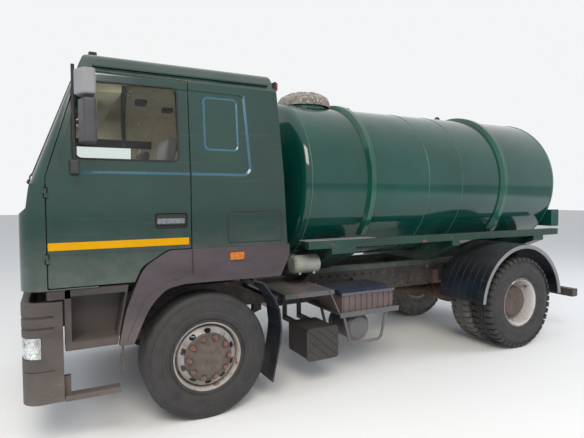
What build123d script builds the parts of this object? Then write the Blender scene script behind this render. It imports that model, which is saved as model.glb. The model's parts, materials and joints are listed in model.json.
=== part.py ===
from build123d import *
from math import atan2, cos, degrees, hypot, pi, sin, sqrt
import os

os.makedirs("parts", exist_ok=True)

# Two-axle cab-over tanker truck. Millimetres, +X forward, +Y to the driver's left, +Z up.
# The origin is on the ground in the middle of the outline, and most heights are above the ground.

# Running gear
FRONT_AXLE_X = 2000
WHEELBASE = 3950
REAR_AXLE_X = FRONT_AXLE_X - WHEELBASE
FRONT_END_X = 3352
REAR_END_X = -3352
FRONT_TYRE_R = 530
REAR_TYRE_R = 560
TYRE_WIDTH = 310
RIM_R = 286
TYRE_OUTER_Y = 1220
TWIN_SPACING = 335
WHEEL_Y = TYRE_OUTER_Y - TYRE_WIDTH / 2
SEAT_GAP = 0.3
RUN_GAP = 0.1
KINGPIN_Y = WHEEL_Y - 125
KINGPIN_R = 20
SPINDLE_R = 40
REAR_SPINDLE_R = 60

# Cab
CAB_HALF_W = 1250
CAB_WALL = 60
CAB_FLOOR_Z = 1205
CAB_SIDE_Z = 1450
CAB_FRONT_X = FRONT_END_X - 3
CAB_LENGTH = 2099
CAB_REAR_X = CAB_FRONT_X - CAB_LENGTH
CAB_BROW_X = CAB_FRONT_X - 49
CAB_BROW_Z = 1750
SCREEN_FOOT = (CAB_FRONT_X - 74, 1966)
SCREEN_RAKE = 0.384
BELT_Z = 2050
ROOF_SPLIT_Z = 2805
SHOULDER_Z = ROOF_SPLIT_Z - 15
SHOULDER_IN = 62
ROOF_EDGE_IN = 190
ROOF_EDGE_Z = ROOF_SPLIT_Z + 150
ROOF_TOP_Z = ROOF_SPLIT_Z + 185
DOOR_GAP = 8
CORNER_W = 175
DOOR_W = 1037
DOOR_FRONT_X = CAB_FRONT_X - CORNER_W
DOOR_REAR_X = DOOR_FRONT_X - DOOR_W
DOOR_TOP_Z = ROOF_SPLIT_Z - DOOR_GAP
DOOR_BASE_Z = CAB_FLOOR_Z + 17
HINGE_AXIS_Y = CAB_HALF_W
TUNNEL_HALF_W = 420
TUNNEL_TOP_Z = 1600
FLOOR_T = 40
TILT_X = CAB_FRONT_X - 99
TILT_Z = 1080
# How far the cutting forms reach past the cab on each side of it
SIDE_REACH = CAB_HALF_W + 50
AHEAD_X = CAB_FRONT_X + 51
BEHIND_X = CAB_REAR_X - 250
BENEATH_Z = CAB_FLOOR_Z - 405
OVER_Z = ROOF_TOP_Z + 210

# Ladder frame
RAIL_OUT_Y = 430
RAIL_DEPTH = 260
RAIL_TOP_Z = 1000
RAIL_FLANGE = 80
RAIL_PLATE = 9
RAIL_FRONT_X = TILT_X - 70
RAIL_REAR_X = -3120
RAIL_BASE_Z = RAIL_TOP_Z - RAIL_DEPTH

# Tank, and the subframe that carries it
SILL_TOP_Z = RAIL_TOP_Z + 60
SADDLE_TOP_Z = SILL_TOP_Z + 285
TANK_R = 890
TANK_Z = SILL_TOP_Z + 90 + TANK_R
TANK_FRONT_X = 810
TANK_REAR_X = -2970
HEAD_CROWN_R = 2600
HEAD_KNUCKLE_R = 100
BAND_RISE = 45
BAND_W = 110
HATCH_X = 430
HATCH_BORE_R = 250
HATCH_WALL = 22
HATCH_TOP_Z = TANK_Z + TANK_R + 55
LID_R = HATCH_BORE_R + HATCH_WALL + 13
LID_T = 18
LID_HINGE_Y = -LID_R - 27
SIDE_RAIL_Y = TANK_R + 70
SIDE_RAIL_W = 80
SIDE_RAIL_H = 80
SIDE_RAIL_FRONT_X = TANK_FRONT_X + 90
SIDE_RAIL_REAR_X = TANK_REAR_X - 40


def block(x0, x1, y0, y1, z0, z1):
    """A box between two corners."""
    size = Box(x1 - x0, y1 - y0, z1 - z0)
    return Pos((x0 + x1) / 2, (y0 + y1) / 2, (z0 + z1) / 2) * size


def outline(points, radii=0):
    """A closed line through the points, with its corners rounded."""
    if not radii:
        return Polyline(*points, close=True)
    return FilletPolyline(*points, radius=radii, close=True)


def side_prism(points, y0, y1, radii=0):
    """A side view of X and Z, drawn out across the truck from y0 to y1."""
    plane = Plane(origin=(0, y0, 0), x_dir=(1, 0, 0), z_dir=(0, -1, 0))
    return extrude(make_face(plane * outline(points, radii)), amount=y1 - y0, dir=(0, 1, 0))


def front_prism(points, x0, x1, radii=0):
    """A front view of Y and Z, drawn out along the truck from x0 to x1."""
    plane = Plane(origin=(x0, 0, 0), x_dir=(0, 1, 0), z_dir=(1, 0, 0))
    return extrude(make_face(plane * outline(points, radii)), amount=x1 - x0, dir=(1, 0, 0))


def plan_prism(points, z0, z1, radii=0):
    """A plan of X and Y, drawn up from z0 to z1."""
    plane = Plane(origin=(0, 0, z0), x_dir=(1, 0, 0), z_dir=(0, 0, 1))
    return extrude(make_face(plane * outline(points, radii)), amount=z1 - z0, dir=(0, 0, 1))


def rod_x(y, z, r, x0, x1):
    return Pos((x0 + x1) / 2, y, z) * Rot(0, 90, 0) * Cylinder(r, x1 - x0)


def rod_y(x, z, r, y0, y1):
    return Pos(x, (y0 + y1) / 2, z) * Rot(90, 0, 0) * Cylinder(r, y1 - y0)


def rod_z(x, y, r, z0, z1):
    return Pos(x, y, (z0 + z1) / 2) * Cylinder(r, z1 - z0)


def turned_y(profile, x, z):
    """A profile of radius and Y, turned about a crosswise axis through x and z."""
    plane = Plane(origin=(x, 0, z), x_dir=(1, 0, 0), z_dir=(0, 0, -1))
    # On this plane the local x is the radius and the local y runs towards minus Y.
    face = make_face(plane * Polyline(*[(r, -y) for r, y in profile], close=True))
    return revolve(face, Axis((x, 0, z), (0, 1, 0)))


def right(shape):
    """The same piece on the truck's right-hand side."""
    return mirror(shape, about=Plane.XZ)


def both_sides(shape):
    return [shape, right(shape)]


def solids_of(*shapes):
    found = []
    for shape in shapes:
        if isinstance(shape, (list, tuple)):
            found += solids_of(*shape)
        else:
            found += list(shape.solids())
    return found


def save(name, *shapes):
    """Writes one sub-part as its separate solids."""
    found = solids_of(*shapes)
    whole = found[0] if len(found) == 1 else Compound(children=found)
    export_step(whole, f"parts/{name}.step")


# Frame: two channel rails, open inwards
def frame_rail():
    web = RAIL_OUT_Y - RAIL_PLATE
    inner = RAIL_OUT_Y - RAIL_FLANGE
    base, top = RAIL_BASE_Z, RAIL_TOP_Z
    section = [
        (RAIL_OUT_Y, base),
        (RAIL_OUT_Y, top),
        (inner, top),
        (inner, top - RAIL_PLATE),
        (web, top - RAIL_PLATE),
        (web, base + RAIL_PLATE),
        (inner, base + RAIL_PLATE),
        (inner, base),
    ]
    return front_prism(section, RAIL_REAR_X, RAIL_FRONT_X)


save("frame_rails", both_sides(frame_rail()))


# Cross members between the rails: x, half length, base z, top z
CROSS_MEMBERS = [
    (RAIL_FRONT_X - 60, 50, RAIL_BASE_Z + 30, RAIL_TOP_Z - 30),
    (1360, 40, RAIL_BASE_Z + 160, RAIL_TOP_Z - 20),
    (60, 40, RAIL_BASE_Z + 60, RAIL_TOP_Z - 40),
    (-1180, 40, RAIL_BASE_Z + 60, RAIL_TOP_Z - 40),
    (-2700, 40, RAIL_BASE_Z + 60, RAIL_TOP_Z - 40),
    (RAIL_REAR_X + 40, 40, RAIL_BASE_Z + 30, RAIL_TOP_Z - 30),
]
PIVOT_EAR_IN_Y = 372
PIVOT_PIN_R = 20
PIVOT_LUG_Y = (384, 416)


def pivot_bracket():
    """Two ears and the pin that the cab tips about, on the front end of the left rail."""
    foot_top = RAIL_TOP_Z + 14
    foot = block(RAIL_FRONT_X - 140, RAIL_FRONT_X, PIVOT_EAR_IN_Y - 10, RAIL_OUT_Y, RAIL_TOP_Z, foot_top)
    ears = []
    for y0, y1 in ((PIVOT_EAR_IN_Y - 10, PIVOT_LUG_Y[0] - 6), (PIVOT_LUG_Y[1] + 6, RAIL_OUT_Y)):
        ear = [
            (RAIL_FRONT_X - 140, RAIL_TOP_Z + 14),
            (RAIL_FRONT_X, RAIL_TOP_Z + 14),
            (TILT_X + 32, TILT_Z - 10),
            (TILT_X + 32, TILT_Z + 32),
            (TILT_X - 32, TILT_Z + 32),
        ]
        ears.append(side_prism(ear, y0, y1))
    pin = rod_y(TILT_X, TILT_Z, PIVOT_PIN_R, PIVOT_EAR_IN_Y - 10, RAIL_OUT_Y)
    return foot + ears[0] + ears[1] + pin


# Bolt pattern for a towing jaw on the last cross member: spacing across, spacing up, hole radius, middle height
HITCH = (160, 100, 10.5, RAIL_TOP_Z - RAIL_DEPTH / 2)


def cross_member(x, half, z0, z1):
    inner_y = RAIL_OUT_Y - RAIL_PLATE
    member = block(x - half, x + half, -inner_y, inner_y, z0, z1)
    if x == CROSS_MEMBERS[-1][0]:
        across, up, hole_r, middle_z = HITCH
        for y in (-across / 2, across / 2):
            for z in (middle_z - up / 2, middle_z + up / 2):
                member -= rod_x(y, z, hole_r, x - half - 5, x + half + 5)
    return member


def cab_rest():
    """The portal on the frame that the cab's rear end sits on when it is down."""
    x0, x1 = 1335, 1395
    post = block(x0, x1, RAIL_OUT_Y - RAIL_FLANGE, RAIL_OUT_Y, RAIL_TOP_Z, CAB_SIDE_Z - 6)
    beam = block(x0, x1, -RAIL_OUT_Y, RAIL_OUT_Y, CAB_SIDE_Z - 66, CAB_SIDE_Z - 6)
    return post + right(post) + beam


save(
    "cross_members",
    [cross_member(*row) for row in CROSS_MEMBERS],
    both_sides(pivot_bracket()),
    cab_rest(),
)

# Engine with gearbox as one plain block on its mounts, and the radiator ahead of it
ENGINE = (FRONT_AXLE_X - 220, FRONT_AXLE_X + 900, 320, RAIL_BASE_Z, TUNNEL_TOP_Z - 140)
ENGINE_SUMP = (ENGINE[0] + 120, ENGINE[1] - 200, 200, ENGINE[3] - 180)
GEARBOX = (ENGINE[0] - 360, ENGINE[0], 230, ENGINE[3] - 40, ENGINE[4] - 340)
ENGINE_MOUNT_X = (ENGINE[0] + 120, ENGINE[1] - 150)


def engine():
    x0, x1, half, z0, z1 = ENGINE
    body = block(x0, x1, -half, half, z0, z1)
    sump = block(ENGINE_SUMP[0], ENGINE_SUMP[1], -ENGINE_SUMP[2], ENGINE_SUMP[2], ENGINE_SUMP[3], z0)
    box = block(GEARBOX[0], GEARBOX[1], -GEARBOX[2], GEARBOX[2], GEARBOX[3], GEARBOX[4])
    whole = body + sump + box
    for x in ENGINE_MOUNT_X:
        arm_y = RAIL_OUT_Y - RAIL_PLATE
        whole += block(x - 50, x + 50, -arm_y, arm_y, RAIL_BASE_Z + 60, RAIL_BASE_Z + 120)
    return whole


RADIATOR = (ENGINE[1] + 60, ENGINE[1] + 140, 340, RAIL_BASE_Z - 40, CAB_FLOOR_Z - 55)


def radiator():
    x0, x1, half, z0, z1 = RADIATOR
    core = block(x0, x1, -half, half, z0, z1)
    bar_y = RAIL_OUT_Y - RAIL_PLATE
    return core + block(x0 + 25, x1 - 25, -bar_y, bar_y, z0 + 90, z0 + 150)


# Axles
SPRING_Y = 390
REAR_SPRING_Y = 478
SPRING_W = 75
BEAM_TOP_Z = 490
BEAM_H = 110
BEAM_HALF_X = 50
FIST_HALF_H = 62
FIST_R = 48
FRONT_SPRING_T = 95
REAR_SPRING_T = 130


def front_axle():
    """Dropped beam that rises to the fists, in which the king pins sit."""
    fist_y = KINGPIN_Y
    z = FRONT_TYRE_R
    drop = [
        (-fist_y, z - 45),
        (-fist_y + 140, z - 45),
        (-fist_y + 300, BEAM_TOP_Z - BEAM_H),
        (fist_y - 300, BEAM_TOP_Z - BEAM_H),
        (fist_y - 140, z - 45),
        (fist_y, z - 45),
        (fist_y, z + 45),
        (fist_y - 180, z + 45),
        (fist_y - 340, BEAM_TOP_Z),
        (-fist_y + 340, BEAM_TOP_Z),
        (-fist_y + 180, z + 45),
        (-fist_y, z + 45),
    ]
    beam = front_prism(drop, FRONT_AXLE_X - BEAM_HALF_X, FRONT_AXLE_X + BEAM_HALF_X)
    # The end narrows to the fist, so that the steered knuckle clears it.
    for side in (1, -1):
        for x_side in (1, -1):
            corner = [
                (FRONT_AXLE_X + x_side * FIST_R, side * (fist_y - 100)),
                (FRONT_AXLE_X + x_side * 80, side * (fist_y - 100)),
                (FRONT_AXLE_X + x_side * 80, side * (fist_y + 60)),
                (FRONT_AXLE_X, side * (fist_y + 60)),
                (FRONT_AXLE_X, side * (fist_y + FIST_R)),
                (FRONT_AXLE_X + x_side * 34, side * (fist_y + 34)),
                (FRONT_AXLE_X + x_side * 34, side * fist_y),
            ]
            beam -= plan_prism(corner, z - 100, z + 100)
        beam += rod_z(FRONT_AXLE_X, side * fist_y, FIST_R, z - FIST_HALF_H, z + FIST_HALF_H)
        beam -= rod_z(FRONT_AXLE_X, side * fist_y, KINGPIN_R + RUN_GAP, z - 200, z + 200)
    return beam


save("front_axle", front_axle())

HOUSING_R = 78
REAR_SPRING_Z = REAR_TYRE_R + HOUSING_R + 12
BANJO_R = 210
BANJO_HALF_W = 190


def rear_axle():
    """Tube with a round middle for the crown wheel, and spindles for the twin wheels."""
    z = REAR_TYRE_R
    tube_end = 560
    spindle_end = 1085
    profile = [
        (0, -spindle_end),
        (REAR_SPINDLE_R, -spindle_end),
        (REAR_SPINDLE_R, -tube_end),
        (HOUSING_R, -tube_end),
        (HOUSING_R, -BANJO_HALF_W - 60),
        (BANJO_R - 30, -BANJO_HALF_W + 60),
        (BANJO_R, -60),
        (BANJO_R, 60),
        (BANJO_R - 30, BANJO_HALF_W - 60),
        (HOUSING_R, BANJO_HALF_W + 60),
        (HOUSING_R, tube_end),
        (REAR_SPINDLE_R, tube_end),
        (REAR_SPINDLE_R, spindle_end),
        (0, spindle_end),
    ]
    housing = turned_y(profile, REAR_AXLE_X, z)
    nose = rod_x(0, z, 95, REAR_AXLE_X + 100, REAR_AXLE_X + 330)
    pads = [
        block(REAR_AXLE_X - 80, REAR_AXLE_X + 80, s * REAR_SPRING_Y - 45, s * REAR_SPRING_Y + 45, z, REAR_SPRING_Z)
        for s in (1, -1)
    ]
    return housing + nose + pads[0] + pads[1]


# Leaf springs: axle x, y, foot z, thickness in the middle, half length, height of the eyes, rail side
def leaf_spring(axle_x, y, foot_z, thick, half, eye_z, width):
    """A stepped pack of leaves, thick over the axle, whose ends rise to the frame."""
    pack = [
        (axle_x - half, eye_z - 14),
        (axle_x - half * 0.55, foot_z + thick * 0.45),
        (axle_x - 130, foot_z),
        (axle_x + 130, foot_z),
        (axle_x + half * 0.55, foot_z + thick * 0.45),
        (axle_x + half, eye_z - 14),
        (axle_x + half, eye_z),
        (axle_x + 130, foot_z + thick),
        (axle_x - 130, foot_z + thick),
        (axle_x - half, eye_z),
    ]
    return side_prism(pack, y - width / 2, y + width / 2)


def hanger(x, y, z0, z1, width):
    return block(x - 45, x + 45, y - width / 2, y + width / 2, z0, z1)


save("rear_axle", rear_axle())

FRONT_SPRING_HALF = 820
REAR_SPRING_HALF = 780


def front_springs():
    spring = leaf_spring(
        FRONT_AXLE_X, SPRING_Y, BEAM_TOP_Z, FRONT_SPRING_T, FRONT_SPRING_HALF, 690, SPRING_W
    )
    for x in (FRONT_AXLE_X - FRONT_SPRING_HALF + 45, FRONT_AXLE_X + FRONT_SPRING_HALF - 45):
        spring += hanger(x, SPRING_Y, 670, RAIL_BASE_Z, SPRING_W)
    return spring


def rear_springs():
    spring = leaf_spring(
        REAR_AXLE_X, REAR_SPRING_Y, REAR_SPRING_Z, REAR_SPRING_T, REAR_SPRING_HALF, 800, SPRING_W
    )
    for x in (REAR_AXLE_X - REAR_SPRING_HALF + 45, REAR_AXLE_X + REAR_SPRING_HALF - 45):
        foot = block(x - 45, x + 45, RAIL_OUT_Y, REAR_SPRING_Y + SPRING_W / 2, 760, 930)
        spring += foot
    return spring


save("leaf_springs", both_sides(front_springs()), both_sides(rear_springs()))


# Propeller shaft, level from the gearbox to the nose of the rear axle
def prop_shaft():
    start = (GEARBOX[0], 0, RAIL_BASE_Z + 80)
    end = (REAR_AXLE_X + 330, 0, REAR_TYRE_R)
    run = hypot(start[0] - end[0], start[2] - end[2])
    slope = degrees(atan2(start[2] - end[2], start[0] - end[0]))
    middle = ((start[0] + end[0]) / 2, 0, (start[2] + end[2]) / 2)
    place = Pos(*middle) * Rot(0, -slope, 0) * Rot(0, 90, 0)
    tube = place * Cylinder(48, run + 60)
    for shift in (-run / 2 + 70, run / 2 - 70):
        tube += place * Pos(0, 0, shift) * Cylinder(75, 60)
    keep = block(REAR_AXLE_X + 330, GEARBOX[0], -200, 200, 300, 1100)
    return tube & keep


save("drive_train", engine(), radiator(), prop_shaft())


# Side equipment. Left: a ribbed battery box on its tray, with an air tank and a tube guard
# below it, a step plate, a lower box and a drum. Right: the fuel tank.
BATTERY_BOX = (-40, 595, 640, 1090, 712, 915)
TRAY_T = 22
TRAY_LIP = 45
STEP_PLATE = (690, 1230, 1100, 942, 955)
LOWER_BOX = (645, 1000, 700, 1100, 282, 600)
DRUM = (655, 960, 700, 1170, 95)
# Air tank across the truck: x, z, radius, y0, y1
AIR_TANK = (355, BATTERY_BOX[4] - 189, 145, 640, 1050)
GUARD_TUBE_R = 15


def battery_box():
    """A box with upright ribs and a lid that stands over its edges, on a tray hung from the rail."""
    x0, x1, y0, y1, z0, z1 = BATTERY_BOX
    box = block(x0, x1, y0, y1, z0, z1 - 30)
    lid_points = [(y0 - 6, z1 - 34), (y1 + 14, z1 - 34), (y1 + 14, z1 - 8), (y1 - 60, z1 + 12), (y0 - 6, z1 + 12)]
    box += front_prism(lid_points, x0 - 12, x1 + 12)
    ribs = 9
    pitch = (x1 - x0) / ribs
    for i in range(ribs):
        x = x0 + pitch * (i + 0.5)
        box += block(x - 14, x + 14, y1, y1 + 8, z0, z1 - 34)
    tray = block(x0 - 60, x1 + 36, RAIL_OUT_Y, y1 + 30, z0 - TRAY_T, z0)
    tray += block(x0 - 60, x1 + 36, y1 + 22, y1 + 30, z0 - TRAY_LIP, z0 + 6)
    gusset = [(RAIL_OUT_Y, z0), (RAIL_OUT_Y, z0 + 210), (RAIL_OUT_Y + 25, z0 + 210), (y0 + 5, z0)]
    for x in (x0 + 60, x1 - 60):
        tray += front_prism(gusset, x - 8, x + 8)
    return box + tray


def tube_guard(y):
    """A bent tube that hangs under the tray, round the end of the air tank."""
    x0, x1 = BATTERY_BOX[0], BATTERY_BOX[1]
    top, low = BATTERY_BOX[4] - TRAY_T / 2, BATTERY_BOX[4] - 325
    points = [(x1 - 10, y, top), (x1 - 95, y, low), (x0 + 160, y, low), (x0 + 85, y, top)]
    path = FilletPolyline(*points, radius=70)
    start = Plane(origin=points[0], z_dir=Vector(*points[1]) - Vector(*points[0]))
    return sweep(start * Circle(GUARD_TUBE_R), path)


def air_tank():
    """A tank across the truck with domed ends, in two straps that hang from the tray."""
    x, z, r, y0, y1 = AIR_TANK
    profile = [(0, y0), (r - 35, y0 + 6), (r, y0 + 40), (r, y1 - 40), (r - 35, y1 - 6), (0, y1)]
    tank = turned_y(profile, x, z)
    for y in (y0 + 90, y1 - 90):
        strap = rod_y(x, z, r + 5, y - 15, y + 15)
        tank += strap + block(x - 20, x + 20, y - 15, y + 15, z + r - 10, BATTERY_BOX[4] - TRAY_T / 2)
    return tank


def step_plate():
    """A tray to step on beside the battery box, with a lip along its outer edge and a stay."""
    x0, x1, y1, z0, z1 = STEP_PLATE
    plate = block(x0, x1, RAIL_OUT_Y, y1, z0, z1)
    plate += block(x0, x1, y1 - 10, y1, z0 - 32, z1)
    for x in (x0 + 90, x1 - 90):
        plate += front_prism([(RAIL_OUT_Y, z0), (RAIL_OUT_Y, z0 - 110), (RAIL_OUT_Y + 30, z0 - 110), (y1 - 120, z0)], x - 6, x + 6)
    foot = (BATTERY_BOX[1] + 30, BATTERY_BOX[4] - 2)
    stay = [foot, (foot[0] + 14, foot[1]), (x0 + 64, z1 - 4), (x0 + 50, z1 - 4)]
    return plate + side_prism(stay, y1 - 8, y1 + 8)


def lower_box():
    """A low box whose outer panel has rounded corners and slanted grooves."""
    x0, x1, y0, y1, z0, z1 = LOWER_BOX
    corners = [(x0, z0), (x1, z0), (x1, z1), (x0, z1)]
    box = side_prism([(x0 + 8, z0 + 8), (x1 - 8, z0 + 8), (x1 - 8, z1 - 8), (x0 + 8, z1 - 8)], y0, y1 - 20, 30)
    box += side_prism(corners, y1 - 20, y1, 38)
    count, slope = 5, 40
    middle = ((x0 + x1) / 2, y1, (z0 + z1) / 2)
    field = side_prism([(x0 + 22, z0 + 22), (x1 - 22, z0 + 22), (x1 - 22, z1 - 22), (x0 + 22, z1 - 22)], y1 - 6, y1 + 6, 26)
    for i in range(count):
        shift = (i - (count - 1) / 2) * 66
        groove = Pos(*middle) * Rot(0, -slope, 0) * Pos(0, 0, shift) * Box(600, 10, 9)
        box -= groove & field
    for x in (x0 + 90, x1 - 90):
        bracket = [
            (RAIL_OUT_Y, z1 - 60),
            (y0 + 20, z1 - 60),
            (y0 + 20, z1 - 20),
            (RAIL_OUT_Y + 16, z1 - 20),
            (RAIL_OUT_Y + 16, RAIL_BASE_Z + 160),
            (RAIL_OUT_Y, RAIL_BASE_Z + 160),
        ]
        box += front_prism(bracket, x - 25, x + 25)
    return box


def drum():
    """A drum along the truck behind the cab, on two brackets from the rail."""
    x0, x1, y, z, r = DRUM
    plane = Plane(origin=(0, y, z), x_dir=(1, 0, 0), z_dir=(0, -1, 0))
    profile = [(x0, 0), (x0, r - 14), (x0 + 14, r), (x1 - 14, r), (x1, r - 14), (x1, 0)]
    whole = revolve(make_face(plane * Polyline(*profile, close=True)), Axis((0, y, z), (1, 0, 0)))
    for x in (x0 + 70, x1 - 70):
        arm = [
            (RAIL_OUT_Y, RAIL_TOP_Z - 90),
            (RAIL_OUT_Y, RAIL_TOP_Z - 10),
            (y - 60, z - r + 25),
            (y + 60, z - r + 25),
            (y + 60, z - r - 6),
            (y - 40, z - r - 16),
        ]
        whole += front_prism(arm, x - 14, x + 14)
    return whole


left_equipment = battery_box() + tube_guard(BATTERY_BOX[3] + 5) + tube_guard(BATTERY_BOX[2] + 20) + air_tank()
save("side_boxes", left_equipment + step_plate() + drum(), lower_box())

FUEL_TANK = (-350, 650, 560, 1120, 420, 960)
FUEL_TANK_CORNER = 70
STRAP_T = 6


def fuel_tank():
    """A tank with rounded long edges, two straps, a filler and the brackets to the rail."""
    x0, x1, y0, y1, z0, z1 = FUEL_TANK
    corners = [(-y0, z0), (-y0, z1), (-y1, z1), (-y1, z0)]
    body = front_prism(corners, x0, x1, FUEL_TANK_CORNER)
    t = STRAP_T
    round_it = [(-y0 + t, z0 - t), (-y0 + t, z1 + t), (-y1 - t, z1 + t), (-y1 - t, z0 - t)]
    for x in (x0 + 180, x1 - 180):
        body += front_prism(round_it, x - 25, x + 25, FUEL_TANK_CORNER + t)
        body += block(x - 30, x + 30, -y0 - 40, -RAIL_OUT_Y, z0 + 60, z1 - 60)
    for x in (x0, x1 - 10):
        body += front_prism([(-y0 + 4, z0 - 4), (-y0 + 4, z1 + 4), (-y1 - 4, z1 + 4), (-y1 - 4, z0 - 4)], x, x + 10, FUEL_TANK_CORNER)
    return body + rod_z(x1 - 200, -y1 + 160, 45, z1 - 10, z1 + 35)


save("fuel_tank", fuel_tank())


# Mudguards
REAR_GUARD_R = 715
REAR_GUARD_T = 12
REAR_GUARD_IN_Y = 560
REAR_GUARD_OUT_Y = 1240
GUARD_BAR_OFFSET = 500
GUARD_RIBS = 6
# The front guard's outer line, as distances from the front axle and heights, and its thickness
FRONT_GUARD = [(-400, 1152), (-500, 1118), (-600, 985), (-653, 862), (-671, 700), (-655, 547), (-579, 216)]
FRONT_GUARD_T = 15


def front_guard():
    """The part of the front arch that stays on the frame, behind the wheel."""
    line = [(FRONT_AXLE_X + dx, z) for dx, z in FRONT_GUARD]
    inner = []
    for dx, z in reversed(FRONT_GUARD):
        away = hypot(dx, z - FRONT_TYRE_R)
        inner.append((FRONT_AXLE_X + dx * (1 - FRONT_GUARD_T / away), z - (z - FRONT_TYRE_R) * FRONT_GUARD_T / away))
    skin = side_prism(line + inner, TYRE_OUTER_Y - 260, TYRE_OUTER_Y + 20)
    arm_x = FRONT_AXLE_X - 645
    arm = block(arm_x, arm_x + 40, RAIL_OUT_Y, TYRE_OUTER_Y - 20, RAIL_TOP_Z - 60, RAIL_TOP_Z - 25)
    return skin + arm


def rear_guard():
    """A half hoop over the twin wheels with a turned edge, on two brackets."""
    x, z = REAR_AXLE_X, REAR_TYRE_R
    hoop = rod_y(x, z, REAR_GUARD_R, REAR_GUARD_IN_Y, REAR_GUARD_OUT_Y)
    hoop -= rod_y(x, z, REAR_GUARD_R - REAR_GUARD_T, REAR_GUARD_IN_Y - 10, REAR_GUARD_OUT_Y + 10)
    edge = rod_y(x, z, REAR_GUARD_R, REAR_GUARD_OUT_Y - 14, REAR_GUARD_OUT_Y)
    edge -= rod_y(x, z, REAR_GUARD_R - 45, REAR_GUARD_OUT_Y - 30, REAR_GUARD_OUT_Y + 10)
    hoop += edge
    # Stiffening ribs run round the hoop
    pitch = (REAR_GUARD_OUT_Y - REAR_GUARD_IN_Y) / (GUARD_RIBS + 1)
    for i in range(GUARD_RIBS):
        y = REAR_GUARD_IN_Y + pitch * (i + 1)
        rib = rod_y(x, z, REAR_GUARD_R + 7, y - 12, y + 12)
        hoop += rib - rod_y(x, z, REAR_GUARD_R - REAR_GUARD_T / 2, y - 20, y + 20)
    reach = REAR_GUARD_R + 100
    hoop = hoop & block(x - reach, x + reach, 0, REAR_GUARD_OUT_Y + 20, z + 60, z + reach)
    inner_r = REAR_GUARD_R - REAR_GUARD_T
    for side in (1, -1):
        bar_x = x + side * GUARD_BAR_OFFSET
        seat_z = z + sqrt(inner_r**2 - (GUARD_BAR_OFFSET + 20) ** 2)
        hoop += block(bar_x - 20, bar_x + 20, RAIL_OUT_Y, REAR_GUARD_IN_Y + 60, 950, 980)
        hoop += block(bar_x - 20, bar_x + 20, REAR_GUARD_IN_Y + 20, REAR_GUARD_IN_Y + 60, 950, seat_z + 6)
    return hoop


save("mudguards", both_sides(front_guard()), both_sides(rear_guard()))

# Bumper, with ribs, a lamp pocket in each corner and the lowest step behind it
BUMPER_BASE_Z = 395
BUMPER_TOP_Z = CAB_FLOOR_Z - 85
BUMPER_CORNER_R = 120
BUMPER_REAR_X = FRONT_END_X - 267
BUMPER_T = 55
LAMP_BOX = (FRONT_END_X - 127, FRONT_END_X - 7, CAB_HALF_W - 400, CAB_HALF_W + 10, 722, 880)


BUMPER_GROOVE_Z = (BUMPER_TOP_Z - 195, BUMPER_TOP_Z - 115)
BUMPER_SEAM_Z = 628


def groove_round_bumper(z0, z1, depth):
    """A groove that follows the bumper's front and both of its rounded corners."""
    half, corner = CAB_HALF_W, BUMPER_CORNER_R
    over = [(BUMPER_REAR_X + 60, -half - 20), (FRONT_END_X + 20, -half - 20), (FRONT_END_X + 20, half + 20)]
    over.append((BUMPER_REAR_X + 60, half + 20))
    kept = [(BUMPER_REAR_X, -half + depth), (FRONT_END_X - depth, -half + depth)]
    kept += [(FRONT_END_X - depth, half - depth), (BUMPER_REAR_X, half - depth)]
    ring = plan_prism(over, z0, z1)
    return ring - plan_prism(kept, z0, z1, [0, corner - depth, corner - depth, 0])


def bumper():
    half = CAB_HALF_W
    outer = [(BUMPER_REAR_X, -half), (FRONT_END_X, -half), (FRONT_END_X, half), (BUMPER_REAR_X, half)]
    t = BUMPER_T
    inner = [
        (BUMPER_REAR_X - 50, -half + t),
        (FRONT_END_X - t, -half + t),
        (FRONT_END_X - t, half - t),
        (BUMPER_REAR_X - 50, half - t),
    ]
    corner = BUMPER_CORNER_R
    shell = plan_prism(outer, BUMPER_BASE_Z, BUMPER_TOP_Z, [0, corner, corner, 0])
    shell -= plan_prism(inner, BUMPER_BASE_Z - 5, BUMPER_TOP_Z + 5, [0, corner - t, corner - t, 0])
    for z in BUMPER_GROOVE_Z:
        shell -= groove_round_bumper(z, z + 22, 14)
    shell -= groove_round_bumper(BUMPER_SEAM_Z, BUMPER_SEAM_Z + 6, 8)
    # Air slots in the lower half, between the lamps
    for i in range(4):
        z = BUMPER_BASE_Z + 60 + i * 42
        shell -= block(FRONT_END_X - t - 5, FRONT_END_X + 5, -620, 620, z, z + 22)
    for side in (1, -1):
        y0, y1 = sorted((side * LAMP_BOX[2], side * LAMP_BOX[3]))
        shell -= block(LAMP_BOX[0], LAMP_BOX[1] + 60, y0, y1, LAMP_BOX[4], LAMP_BOX[5])
    for side in (1, -1):
        y0, y1 = sorted((side * (RAIL_OUT_Y - 70), side * RAIL_OUT_Y))
        shell += block(RAIL_FRONT_X, FRONT_END_X - t, y0, y1, 780, 960)
    return shell


def step_bar():
    y1 = CAB_HALF_W - 10
    bar_z = BUMPER_BASE_Z - 10
    bar = block(FRONT_AXLE_X + 700, BUMPER_REAR_X - 2, y1 - 90, y1, bar_z, bar_z + 40)
    return bar + block(BUMPER_REAR_X - 45, BUMPER_REAR_X + 55, y1 - 90, y1 - 45, bar_z, bar_z + 175)


save("bumper", bumper(), both_sides(step_bar()))

# Subframe: sills on the rails, saddles under the tank, side rails beyond it
SADDLES = [(480, 300), (-1100, 120), (-2600, 200)]
SILL_Y = (350, 430)
SILL_FRONT_X = 860
CRADLE_GAP = 0.3


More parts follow.
